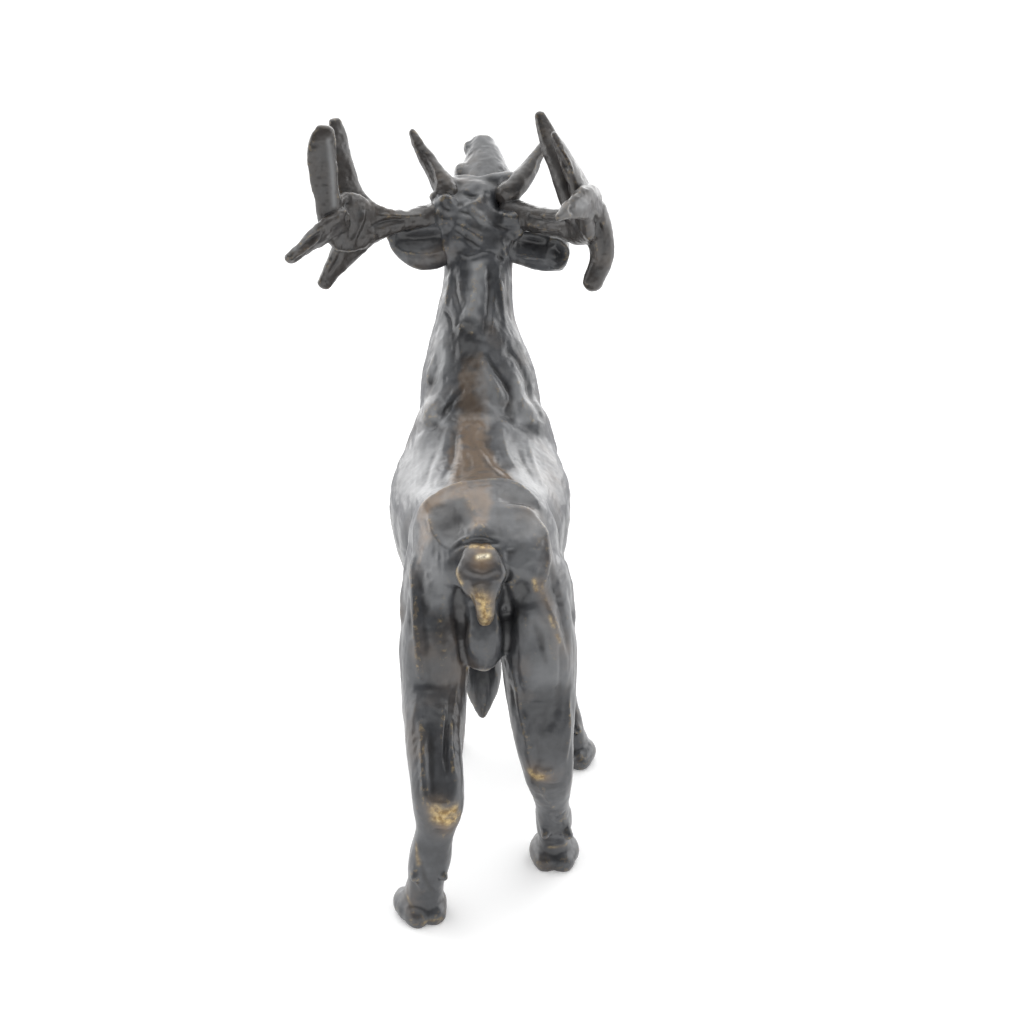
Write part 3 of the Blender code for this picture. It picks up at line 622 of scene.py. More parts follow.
def add_head(body):
    """Skull, muzzle, jaw and brow, with eyes and the antlers' bases."""
    add_ball(body, (71.6, 0, 89.2), (6.2, 6.0, 6.3), tilt=30)
    # swellings from which the antlers and the front tines rise
    add_ball(body, (68.8, -5.6, 91.0), (3.2, 2.9, 4.4))
    add_ball(body, (69.0, 5.2, 90.4), (3.0, 2.8, 3.6))
    add_ball(body, (71.0, -5.4, 94.8), (2.3, 2.3, 2.2))
    add_ball(body, (71.2, 5.0, 95.4), (2.3, 2.4, 2.2))
    add_limb(body, MUZZLE)
    add_limb(body, JAW)
    add_limb(body, BROW, across=(0, 1, 0))
    add_limb(body, FOREHEAD)
    for side in (-1, 1):
        pedicle = ((71.0, 3.0 * side, 90.2, 2.4, 2.4), (70.0, 6.2 * side, 91.6, 2.3, 2.3))
        add_limb(body, pedicle, across=(0, 1, 0))
        add_ball(body, (75.0, 3.6 * side, 88.6), (4.0, 1.8, 3.0), tilt=35)
        add_ball(body, (76.4, 4.4 * side, 94.2), (2.4, 1.4, 1.9), tilt=40)
        add_ball(body, (76.9, 5.1 * side, 94.0), (1.15, 0.9, 1.0), tilt=40)
        add_ball(body, (78.2, 3.2 * side, 97.4), (2.4, 1.2, 1.5), tilt=40)
        add_ball(body, (84.6, 1.9 * side, 101.0), (1.7, 1.0, 1.2), tilt=40)


def add_stag(body):
    add_body(body)
    add_head(body)


def on_trunk(forward, right, up):
    """1 on the trunk and the base of the neck, falling to 0 towards the legs and the head."""
    low = np.clip((up - 36.0) / 5.0, 0, 1)
    high = np.clip((82.0 - up) / 5.0, 0, 1)
    return low * high


# hand-modelled form: width, height (a groove is below 0), path, kind where it isn't a rounded stroke
CROUP = (
    # croup: hip crest, edges of the planes beside the tail, top of the right rump
    (0.6, 0.6, ((12.6, -8.2), (14.2, -4.6), (15.6, -0.8), (16.8, 2.8), (15, 5.8), (12, 8))),
    (1.5, -0.35, ((19.5, -7), (20.5, -2.5), (21.5, 2.5), (20, 6.5))),
    (0.6, 0.25, ((12, -8.2), (8.6, -7.2), (5.2, -5.8), (2.8, -3.6))),
    (0.5, 0.2, ((13, -2.6), (9, -1.4), (6, -0.6))),
    (0.5, 0.15, ((11, 1.2), (8, 1.4), (5, 1.6))),
    (0.8, -0.25, ((10.8, 2.6), (11.3, 5.4), (10.4, 7.6))),
    (0.7, 0.3, ((8.4, 2.6), (9, 4.8), (9, 6.8), (7.2, 8.4), (5, 9))),
)
RUMP = (
    (0.5, 0.45, ((7.6, 57), (8.9, 54.8), (8.9, 51), (8, 48.4))),
    (0.5, 0.4, ((-4.2, 53.6), (-2.6, 54.9), (0, 55.4), (2.6, 54.9)), "crease"),
)
BACK = (
    # back: edges of the flat spine strip, muscle edges along the loin
    (1.1, 0.45, ((44, -0.4), (38, 1), (32, 2.6), (25, 5), (17, 7.4)), "flap"),
    (0.7, -0.3, ((52, 1.6), (47, 1), (42, 0.9), (38, 1.6))),
    (0.7, -0.3, ((54, -3.6), (47, -4.2), (41, -4.2), (35, -4.8), (28, -6.2))),
    (0.6, 0.25, ((50, -5.2), (44, -5.8), (38, -6.4))),
    (0.6, 0.25, ((50, 3.2), (44, 3.4), (38, 4.4), (31, 6))),
    (0.5, -0.25, ((42, -7.4), (36, -8), (30, -8.6))),
    (0.5, -0.25, ((43, 5.6), (37, 6.6), (30, 8.2))),
    (0.5, 0.22, ((46, 7.4), (39, 8.2), (31, 9.4))),
)
THIGHS = (
    # clefts between the tail and the buttocks
    (0.8, -1.1, ((-3.9, 53), (-3.4, 48), (-2.9, 43), (-2.7, 37.5))),
    (0.9, -1.4, ((3.7, 54.5), (3.7, 49.5), (3.5, 44), (3.2, 38.5))),
    # thighs: back plane edged against the side planes
    (0.6, 0.4, ((-9.4, 55), (-9.6, 49), (-9.2, 43), (-8.6, 37), (-8.4, 31))),
    (0.9, -0.4, ((-8.2, 52), (-8.2, 46), (-7.6, 40), (-7.4, 34))),
    (0.5, -0.35, ((-10.2, 47), (-10, 44), (-9.8, 41.5))),
    (0.8, 0.3, ((-5.4, 50), (-5.8, 44), (-5.4, 38), (-5, 33.5))),
    (0.6, -0.3, ((-4.4, 42), (-4.6, 36), (-4.2, 31), (-4.4, 27))),
    (0.7, -0.45, ((9.2, 52), (10.2, 47.5), (11.4, 43), (12.2, 38))),
    (0.6, 0.4, ((8.2, 49.6), (8.6, 46.4), (10, 43.6), (11, 40))),
    (0.7, -0.35, ((6.8, 45.4), (8.2, 41), (9.6, 36))),
    (0.7, -0.3, ((10.8, 41), (11.2, 36), (10.6, 31.5), (9.4, 27))),
    (0.6, -0.35, ((5.2, 40.5), (5, 35), (6, 29.5), (7.2, 25))),
    (0.5, 0.35, ((4.6, 37.5), (5.2, 32), (6.2, 27), (6.8, 22.6))),
    # gaskins: vertical plane edges and the cords inside the left leg
    (0.5, 0.45, ((-8.4, 31), (-8.2, 26.5), (-7.8, 22), (-7.2, 19))),
    (0.6, -0.35, ((-7.2, 30.5), (-7.2, 26), (-6.8, 21.8))),
    (0.4, 0.4, ((-3.4, 35), (-4.2, 31.6), (-4.4, 27.4), (-4, 24))),
    (0.35, -0.45, ((-3.9, 34.6), (-4.8, 31), (-5, 27), (-4.6, 23.4))),
    (0.35, 0.35, ((-5.2, 32), (-5.7, 28), (-5.5, 24.4))),
    (0.4, 0.35, ((12.4, 33), (12.3, 27.5), (11.6, 22))),
    (0.6, -0.3, ((7.6, 30), (7.8, 26), (8.2, 22.4))),
    # hocks, cannons and pasterns
    (0.7, 0.4, ((-7, 20.6), (-5.6, 20.9), (-3.9, 20.7))),
    (0.4, -0.35, ((-7.2, 16.6), (-5.6, 16.2), (-4, 16.6))),
)
HOCK_LEFT = (
    (0.6, -0.4, ((0.4, 22), (-0.6, 18.5), (-0.8, 15))),
)
HOCK_RIGHT = (
    (0.6, -0.4, ((11, 21), (10.4, 17.5), (11.4, 14))),
)
HOCKS_TO_NAPE = (
    (0.6, 0.35, ((7.4, 21.6), (8.8, 20.8), (10.4, 21.2))),
    (0.4, -0.3, ((7.6, 19.2), (9.4, 18.6), (11.4, 19))),
    (0.35, 0.3, ((8.2, 18), (9.6, 15), (10.6, 12.6))),
    (0.35, -0.35, ((8.8, 14), (9.6, 11), (11.2, 9.4), (12.8, 10.6), (13.2, 13.4))),
    (0.35, -0.3, ((10, 12.6), (10.9, 10.6), (12, 12.4))),
    (0.4, -0.35, ((-8.6, 11.6), (-8.2, 8.6), (-7.4, 6), (-6.2, 4.6))),
    (0.35, 0.3, ((-9.6, 10.6), (-9.2, 7.6), (-8.2, 5))),
    # neck and shoulders, from behind
    (0.85, -0.75, ((4, 71), (5.8, 69.4), (7, 67.4), (8, 65), (9.2, 62.6), (9.9, 60.4))),
    (0.7, 0.4, ((5, 67.6), (6.2, 65.2), (7.4, 62.6), (8.4, 60))),
    (0.38, -0.45, ((0.8, 70.6), (1.8, 69), (3, 67.4), (4.3, 65.4), (5, 63.6), (4.2, 61.6))),
    (0.6, 0.3, ((0.2, 69.6), (1.2, 67.6), (2.4, 65.6), (3.6, 63.8))),
    (0.5, 0.3, ((0.4, 63.6), (2.6, 61.6), (5.4, 59.6))),
    (0.4, -0.35, ((0.6, 61.6), (1.8, 60.4), (3.4, 59.6))),
    (0.45, 0.28, ((-8.6, 59.6), (-5.6, 63.2), (-2.6, 66.6))),
    (0.30, -0.26, ((-8, 59.4), (-5.2, 62.6), (-2.6, 65.4))),
    (0.35, 0.2, ((-7.2, 59.2), (-4.8, 61.9), (-2.8, 64))),
    (0.3, -0.2, ((-6.4, 58.8), (-4.4, 61), (-3, 62.6))),
    (0.8, -0.22, ((-8.6, 64), (-7.4, 67.4), (-6.4, 71))),
    (0.6, 0.4, ((-9.4, 62), (-8.6, 66), (-7.4, 70))),
    (0.8, -0.22, ((-10, 58.6), (-9.6, 62), (-8.8, 65))),
    (0.4, -0.35, ((-6.2, 77), (-5, 75.6), (-4.6, 73.4))),
    (0.9, 0.5, ((-0.6, 84.4), (-0.8, 80.5), (-1.4, 77.6), (-2.6, 75.4))),
    (0.5, -0.45, ((1.2, 84), (1.6, 80), (1.2, 76), (0.6, 72.6))),
    (0.6, -0.35, ((-4.2, 83), (-4, 79.6), (-3.2, 76.6))),
    (0.5, 0.3, ((-5.2, 82), (-5.4, 78.6), (-6, 75.6))),
    (0.6, 0.3, ((3.2, 84.4), (3.2, 80.5), (3.8, 76.8), (4.4, 73.4))),
    (0.4, -0.3, ((4.4, 82), (4.6, 78), (5.2, 74.6))),
    # back of the skull
    (0.6, 0.45, ((-4, 90.6), (-1.8, 89.4), (0.8, 87.6))),
    (0.45, -0.45, ((-4.2, 89.4), (-2, 88), (0.6, 86.2))),
    (0.5, 0.35, ((-1.6, 93), (0.4, 91.4), (2.6, 89.6))),
    (0.4, -0.35, ((-4.6, 93), (-2, 92), (0.6, 90))),
    (0.6, 0.4, ((0.8, 96.6), (0.2, 94.2), (-1.2, 92.4))),
    (0.5, 0.2, ((-4, 86.2), (-2, 85.2), (1, 86), (3.6, 85)), "crease"),
    (0.5, 0.35, ((-5.8, 93.6), (-3.4, 92.6), (-1, 93.6), (1.4, 93))),
    (0.45, 0.35, ((-6.6, 90.6), (-6, 88.4), (-5.2, 86))),
    (0.5, 0.4, ((2.4, 92.6), (4.8, 91.4), (7, 91.6))),
    (0.4, -0.35, ((2, 90.6), (4.4, 89.6), (6.8, 89.8))),
    (0.4, -0.3, ((-3.2, 95.4), (-1, 94.6), (1.6, 95.2))),
    (0.4, 0.3, ((3.4, 88.4), (3.8, 86.6), (4.4, 84.6))),
)
SHOULDERS = (
    # shoulder, elbow and chest, from the sides
    (1.1, -0.45, ((65, 56), (66, 51), (64.6, 46), (61, 41))),
    (1.1, -0.5, ((48.6, 54), (47.5, 50), (48, 45), (50, 39))),
    (0.9, 0.35, ((55, 58), (57, 54), (60.5, 48))),
)
FORELEG_LEFT = (
    (0.9, -0.4, ((52, 43), (55.5, 39), (56, 34), (54, 30))),
    (0.6, 0.3, ((54.6, 30), (56.6, 25), (58.6, 21))),
)
FORELEG_RIGHT = (
    (0.9, -0.4, ((52, 43), (55.5, 39), (56, 34), (53, 30))),
    (0.6, 0.3, ((52.6, 30), (54, 25), (55.4, 21))),
)
FLANKS = (
    # ribs and flank
    (1.3, -0.22, ((44, 54), (42, 46), (43, 38))),
    (1.3, -0.22, ((39, 54), (37, 46), (38, 38))),
    (1.3, -0.22, ((34, 53), (32, 46), (33, 39))),
    (1.8, -0.8, ((24.5, 56), (25.5, 49), (24, 42), (21, 36))),
)
HAUNCH_LEFT = (
    (1.0, 0.35, ((17, 56), (12, 48), (7, 40), (5, 33))),
    (0.9, -0.35, ((6, 50), (7.5, 42), (9.5, 34), (7, 29))),
)
HAUNCH_RIGHT = (
    (1.0, 0.35, ((17, 56), (13, 48), (9, 40), (8, 33))),
    (0.9, -0.35, ((6, 50), (8.5, 42), (11.5, 34), (10, 28))),
)
FACE = (
    # throat, jaw and face
    (0.9, -0.5, ((70, 84), (72.5, 76), (72, 68), (68, 60))),
    (0.6, 0.35, ((72.5, 86), (75.5, 85.6), (79, 88))),
    (0.35, 0.5, ((74.8, 93.6), (75.8, 95.4), (77.6, 96), (79.2, 95.6))),
    (0.30, 0.35, ((75.4, 92.6), (77, 92.4), (78.6, 93.8))),
    (0.28, -0.4, ((75.4, 93.4), (76.4, 95), (78.2, 95.2), (78.8, 94.4))),
    (0.5, -0.35, ((78.4, 92.2), (80.6, 94), (82.6, 96.2))),
    (0.4, -0.4, ((83.2, 99.6), (84.6, 99), (85.8, 99.6))),
    (0.4, 0.3, ((79, 91.6), (82, 94.6), (85.2, 97.8))),
)
BREAST = (
    (0.8, -0.4, ((-1.6, 56), (-0.6, 50), (-0.4, 44))),
)
FORM = (
    ("above", CROUP),
    ("behind", RUMP),
    ("above", BACK),
    ("behind", THIGHS),
    ("left", HOCK_LEFT),
    ("right", HOCK_RIGHT),
    ("behind", HOCKS_TO_NAPE),
    ("sides", SHOULDERS),
    ("left", FORELEG_LEFT),
    ("right", FORELEG_RIGHT),
    ("sides", FLANKS),
    ("left", HAUNCH_LEFT),
    ("right", HAUNCH_RIGHT),
    ("sides", FACE),
    ("front", BREAST),
)
# planes with edges: seen from, softness, lift, mark, amount, corners; the near-black marks are painted shade
# on planes and clefts in shade, the pale ones painted highlights, the brown ones bloom
PLANES = (
    ("above", 0.6, -0.10, "painted_shade", 1, ((10.8, -6.9), (10.8, -2.6), (7, -0.8), (3, -3.2), (7, -6.7))),
    ("above", 0.5, 0, "brown", 1, ((15.6, -7.4), (16, 1), (12, 1.4), (5, 0.8), (5, -1.2),
     (10.8, -2.6), (10.8, -6.8), (6.6, -7), (6.8, -8.6), (12, -8.8))),
    ("above", 0.7, -0.10, "painted_shade", 0.8, ((15.6, 2), (14.6, 6.2), (11, 8), (10.4, 2.4))),
    ("above", 0.6, 0.25, None, 0, ((10, 2.6), (10.2, 7.6), (6, 9.4), (3, 8), (3.6, 3.2))),
    ("above", 0.5, 0, "brown", 1, ((20, -5.4), (30, -4.6), (40, -5), (50, -4), (55.6, -3.2), (55.6, 0.2),
     (50, 1.4), (42, 1), (33, 3), (22, 6))),
    ("above", 0.5, 0, "painted_shade", 0.5, ((15, -5), (22, -4.4), (26, 0), (24, 4.6), (15, 6.4))),
    ("above", 1.6, 0.40, "pale", 0.50, ((52, 3), (47, 2.6), (38, 3.4), (30, 5.2), (18, 9), (20, 10.4),
     (32, 10.4), (46, 8.4))),
    ("above", 1.6, 0.35, "pale", 0.42, ((57, -5.6), (38, -6.4), (30, -6.4), (20, -8.2), (22, -10.2),
     (36, -11.2), (50, -10))),
    ("behind", 0.8, 0, "painted_shade", 0.55, ((-4.6, 69), (0.4, 69), (0.8, 64), (0.2, 61), (-3.8, 61))),
    ("behind", 0.6, 0, "painted_shade", 0.8, ((-5, 75.4), (-1.8, 75.6), (0.2, 71), (0, 67.6), (-4.4, 67.6),
     (-5.2, 71))),
    ("behind", 0.6, 0.15, "pale", 0.7, ((-1.4, 84.4), (1, 84.4), (0.6, 80), (-0.4, 75.6), (-3, 75.6),
     (-1.6, 80))),
    ("behind", 0.7, 0.15, "pale", 0.7, ((-6.8, 74), (-5.4, 74), (-5, 69), (-6.4, 66.6), (-8.4, 66))),
    ("behind", 0.7, 0.20, "pale", 0.6, ((0.2, 69.4), (2.6, 66), (4, 62), (1, 60), (-0.8, 65))),
    ("behind", 0.7, 0.10, "pale", 0.7, ((5.4, 67.8), (7.2, 64.6), (8.6, 60.4), (5.6, 59), (5, 63))),
    ("behind", 0.7, 0.10, "pale", 0.7, ((-8.4, 60.6), (-5, 59), (-3.6, 62), (-5.8, 61.2), (-8.4, 63))),
    ("behind", 1.2, 0.00, "pale", 0.35, ((-7.8, 52), (-4.2, 52), (-4, 46), (-7.4, 46))),
    ("behind", 1.2, 0.00, "pale", 0.35, ((2.8, 56.6), (7.6, 56.6), (8.4, 51), (4.4, 50.4))),
    ("behind", 1.2, 0.00, "pale", 0.30, ((6.4, 45), (11.6, 44), (12, 34), (7.4, 34))),
    ("behind", 1.6, -0.15, "painted_shade", 0.55, ((-7.6, 45), (-3.9, 45), (-3.5, 36), (-4.4, 22.4), (-7, 22.4),
     (-7.8, 33))),
    ("behind", 0.9, -0.2, "painted_shade", 0.9, ((3, 52), (4.4, 51), (6.2, 48.6), (5.6, 42), (4.4, 36.4),
     (3, 42))),
    ("behind", 1.6, -0.15, "painted_shade", 0.45, ((6.4, 31), (11.4, 31), (11.6, 22.8), (7.6, 22.4))),
)
# seen from, middle, radii, depth
DENTS = (
    ("above", (12.8, -7.8), (1.6, 1.5, 1.6), -0.60),
    ("above", (12.2, 7.8), (1.6, 1.5, 1.6), -0.45),
    ("above", (4.6, -0.1), (1.9, 1.4, 1.8), -1.1),
    ("above", (6.6, -3.9), (2.6, 2, 3.2), 0.7),
    ("above", (12, 4.6), (2, 2.8, 2.4), 0.35),
    ("above", (23, 0), (4, 6, 4), 0.4),
    ("behind", (5.5, 48.6), (1.8, 1.3, 2.2), 0.8),
    ("behind", (4.8, 94), (2.4, 2, 1.5), 1.8),
    ("behind", (6.6, 93.4), (2, 1.2, 1), 0.8),
    ("behind", (-6.4, 88.6), (1.4, 1.3, 1.3), 0.5),
    ("behind", (-7.2, 95), (0.9, 0.8, 0.8), -0.5),
    ("behind", (-5.6, 92.8), (1.4, 1.2, 1), 0.6),
    ("behind", (-5.8, 94.6), (1, 0.9, 0.8), -0.6),
    ("behind", (-6.6, 92.4), (0.8, 0.8, 0.7), -0.5),
    ("behind", (-7.9, 46), (2, 1.2, 2.6), 0.35),
    ("behind", (-3, 74.2), (1, 0.9, 0.8), -0.35),
    ("behind", (-1.6, 73.6), (0.8, 0.8, 0.7), -0.35),
    ("behind", (1.8, 75), (1.2, 1, 1.6), -0.40),
    ("above", (49, -8.8), (5, 2.6, 5), -0.5),
    ("above", (49, 8.8), (5, 2.6, 5), -0.5),
)
# flattened spots: seen from, then middle and radius of each
FACETS = (
    ("above", (
        (6.4, -4.2, 3.2), (9, -5.2, 3), (11, 4.6, 3), (6, 5.4, 3.2), (24, -6.4, 4.5), (24, 6.6, 4.5),
        (31, -7, 5), (31, 7, 5), (39, -7.4, 5), (39, 6.6, 5), (46, -7.4, 4.5), (46, 6, 4.5),
        (34, -1.2, 3), (40, -1.6, 3), (46, -1.4, 3),
    )),
    ("behind", (
        (-6.4, 47, 3), (-6.4, 37, 2.8), (6.6, 52, 2.8), (7.6, 42, 3), (8.2, 34, 3), (-6.4, 27.5, 2.6),
        (9.4, 27, 3),
    )),
    ("left", (
        (8, 44, 4.5), (10, 34, 4), (4, 27, 3),
    )),
    ("right", (
        (9, 44, 4.5), (12, 34, 4), (9.5, 25, 3),
    )),
)


def on_barrel(forward, right, up):
    """1 on the back and flanks, where the coat lies along the body."""
    return np.clip((up - 40.0) / 4.0, 0, 1) * np.clip((66.0 - up) / 4.0, 0, 1)


def off_barrel(forward, right, up):
    return 1.0 - on_barrel(forward, right, up)


def on_skull(forward, right, up):
    """1 on the back of the skull, which is left rough, and on the nape below it."""
    return np.clip((up - 76.0) / 10.0, 0, 1) * np.clip((74.5 - forward) / 2.0, 0, 1)


def on_chest(forward, right, up):
    """1 where the neck runs down into the breast, falling to 0 around it."""
    far = ((forward - 69.0) / 9.0) ** 2 + (right / 12.0) ** 2 + ((up - 60.0) / 11.0) ** 2
    return np.clip(1.6 * (1 - far), 0, 1)


def sculpt_stag(wax):
    """Softens, flattens, cuts and models the fused clay, from large forms to small."""
    wax.soften(on_trunk, 60)
    wax.soften(on_chest, 160)
    wax.refresh()
    for seen_from, spots in FACETS:
        for first, second, radius in spots:
            wax.facet(seen_from, (first, second), radius)
    wax.refresh()
    for plane in PLANES:
        wax.patch(*plane)
    wax.refresh()
    for dent in DENTS:
        wax.dent(*dent)
    wax.refresh()
    for seen_from, rows in FORM:
        wax.strokes(rows, seen_from)
    wax.refresh()
    for side in (-1, 1):
        wax.dent(None, (85.9, 1.7 * side, 101.3), (0.7, 0.6, 0.6), 0.7)


# colours rubbed or bloomed on, then painted shade and painted highlights: mark, width, amount, path seen
# from behind
STAG_PAINT = (
    # metal worn bright on the hocks, the rump and the hoof rims
    ("gold", 0.8, 1, ((-6.4, 19.9), (-5.2, 19.2), (-4, 19.6))),
    ("gold", 0.8, 1, ((-6.2, 18.6), (-4.8, 18), (-3.6, 18.2))),
    ("gold", 0.55, 0.9, ((6.8, 20.6), (7.6, 20), (8.4, 20.2))),
    ("gold", 0.30, 0.6, ((7.2, 50), (7.5, 48.4))),
    ("gold", 0.25, 0.5, ((9.4, 44.6), (9.9, 43.2))),
    ("gold", 0.25, 0.5, ((10.4, 41.8), (10.8, 40.8))),
    ("gold", 0.30, 0.6, ((-2.2, 36.4), (-1.6, 33.6), (-0.2, 30.6), (1.2, 32.6))),
    ("gold", 0.25, 0.5, ((8, 5.4), (10, 4), (12.6, 4.4))),
    ("gold", 0.25, 0.5, ((-10.8, 4.2), (-8.4, 0.9), (-6, 1.2))),
    ("gold", 0.3, 0.5, ((-9.4, 13.4), (-9, 10.6))),
    # warm brown along the spine and on the croup
    ("brown", 1, 0.5, ((8, 49.4), (9.4, 46), (10.6, 42))),
    ("brown", 1.6, 0.8, ((-6.4, 20.6), (-5, 17))),
    ("brown", 1.4, 0.7, ((7, 21), (9, 20.2))),
    # painted shade in the hollows at the back of the skull, with one painted highlight beside them
    ("painted_shade", 1.5, 1, ((4.6, 94.2), (6.4, 93.6))),
    ("painted_shade", 1.3, 0.8, ((2.6, 87.8), (5.4, 87.6))),
    ("pale", 1.6, 0.35, ((-3.6, 93), (-0.6, 92.4), (0.6, 90.8))),
    ("painted_shade", 1.2, 0.8, ((-6, 93), (-6.4, 91.6))),
)


# how far above its joint a lower leg is still told apart
OVER_JOINT = 1.5


def leg_region(points, name):
    """Which points belong to a lower leg, seams aside."""
    forward, right, up = points.T
    rear = forward < 34
    sheath = (np.abs(right) < 3.7) & (forward > 16.4) & (up > 20.5)
    if name == "hind_leg_left":
        return rear & (right < -0.4) & (up < HIND_LEFT_SEAM + OVER_JOINT) & ~sheath
    if name == "hind_leg_right":
        return rear & (right > 0.9) & (up < HIND_RIGHT_SEAM + OVER_JOINT) & ~sheath
    if name == "fore_leg_left":
        return ~rear & (right < -1.0) & (up < FORE_SEAM + OVER_JOINT) & (forward < 76)
    return ~rear & (right > 1.0) & (up < FORE_SEAM + OVER_JOINT) & (forward < 76)


LEGS = {
    "hind_leg_left": HIND_LEFT_SEAM,
    "hind_leg_right": HIND_RIGHT_SEAM,
    "fore_leg_right": FORE_SEAM,
    "fore_leg_left": FORE_SEAM,
}
# the hairline left open at a joint, and how far around it the skin is cut
JOINT_GAP = 0.012
NEAR_JOINT = 2.0


def faces_where(body, test):
    """Faces whose middle passes a test made on all middles at once."""
    middles = np.array([f.calc_center_median()[:] for f in body.faces])
    chosen = test(figure_from_world(middles))
    return [f for f, yes in zip(body.faces, chosen) if yes]


def without(mesh, test):
    """A working copy of a mesh without the faces that pass a test."""
    body = bmesh.new()
    body.from_mesh(mesh)
    bmesh.ops.delete(body, geom=faces_where(body, test), context="FACES")
    return body


def sliced(body, faces, place, way):
    """Cuts the given faces at a plane and drops what lies beyond it."""
    geometry = set(faces)
    for face in faces:
        geometry.update(face.edges)
        geometry.update(face.verts)
    bmesh.ops.bisect_plane(
        body, geom=list(geometry), dist=1e-7, plane_co=place, plane_no=way, clear_outer=True
    )


def mesh_of(body, name):
    mesh = bpy.data.meshes.new(name)
    body.to_mesh(mesh)
    body.free()
    mesh.shade_smooth()
    return mesh


def capped(body, name):
    """Closes the cut ends with flat caps that have sharp rims."""
    rims = [e for e in body.edges if e.is_boundary]
    for rim in rims:
        rim.smooth = False
    filled = bmesh.ops.holes_fill(body, edges=rims, sides=0)
    bmesh.ops.triangulate(body, faces=filled["faces"])
    return mesh_of(body, name)


def parted(mesh):
    """Cuts the whole stag at its joints into closed castings."""
    made = {}
    for name, seam in LEGS.items():
        body = without(mesh, lambda p: ~leg_region(p, name))
        sliced(body, body.faces[:], at(0, 0, seam - JOINT_GAP), (0, 0, 1))
        made[name + "_casting"] = capped(body, name + "_casting")
    lean = math.radians(NECK_LEAN)
    way = Vector((0, -math.sin(lean), math.cos(lean)))
    middle = at(*NECK_SEAM)

    def above_neck(points, margin):
        off = world_from_figure(points) - np.array(middle)
        return off @ np.array(way) > margin * MM

    body = without(mesh, lambda p: ~above_neck(p, -NEAR_JOINT))
    sliced(body, body.faces[:], middle + way * JOINT_GAP * MM, -way)
    made["head_and_neck_casting"] = capped(body, "head_and_neck_casting")

    body = without(mesh, lambda p: above_neck(p, NEAR_JOINT))
    sliced(body, faces_where(body, lambda p: above_neck(p, -NEAR_JOINT)), middle, way)
    for name, seam in LEGS.items():
        low = faces_where(body, lambda p: leg_region(p, name) & (p[:, 2] < seam - NEAR_JOINT))
        bmesh.ops.delete(body, geom=low, context="FACES")
        near = faces_where(body, lambda p: leg_region(p, name))
        sliced(body, near, at(0, 0, seam), (0, 0, -1))
    made["trunk_casting"] = capped(body, "trunk_casting")
    return made


def nodes_of(name):
    material = bpy.data.materials.new(name)
    material.use_nodes = True
    tree = material.node_tree
    return material, tree, tree.nodes["Principled BSDF"]


def feed(tree, socket, value):
    """Links a socket, or sets it where the value is a plain one."""
    if isinstance(value, bpy.types.NodeSocket):
        tree.links.new(value, socket)
    else:
        socket.default_value = value


def wire(tree, node_type, settings=None, **inputs):
    """Adds a node, sets its properties and feeds its inputs."""
    node = tree.nodes.new(node_type)
    for key, value in (settings or {}).items():
        setattr(node, key, value)
    for key, value in inputs.items():
        feed(tree, node.inputs[key.replace("_", " ")], value)
    return node


def mark(tree, name):
    return wire(tree, "ShaderNodeAttribute", {"attribute_name": name}).outputs["Fac"]


def ramp(tree, value, low, high):
    """0 at the low value, 1 at the high one."""
    ends = {"From_Min": low, "From_Max": high}
    return wire(tree, "ShaderNodeMapRange", {"clamp": True}, Value=value, **ends).outputs["Result"]


def grain(tree, scale, detail, roughness=0.55):
    """Noise fixed to the casting, with features 1 / scale metres across."""
    place = wire(tree, "ShaderNodeTexCoord").outputs["Object"]
    settings = {"Scale": scale, "Detail": detail, "Roughness": roughness}
    return wire(tree, "ShaderNodeTexNoise", Vector=place, **settings).outputs["Fac"]


def blend(tree, share, first, second):
    node = wire(tree, "ShaderNodeMix", {"data_type": "RGBA"})
    for place, value in ((0, share), (6, first), (7, second)):
        feed(tree, node.inputs[place], value)
    return node.outputs[2]


def combined(tree, operation, first, second):
    node = wire(tree, "ShaderNodeMath", {"operation": operation, "use_clamp": True})
    for place, value in enumerate((first, second)):
        feed(tree, node.inputs[place], value)
    return node.outputs[0]


def times(tree, first, second):
    return combined(tree, "MULTIPLY", first, second)


def larger(tree, first, second):
    return combined(tree, "MAXIMUM", first, second)


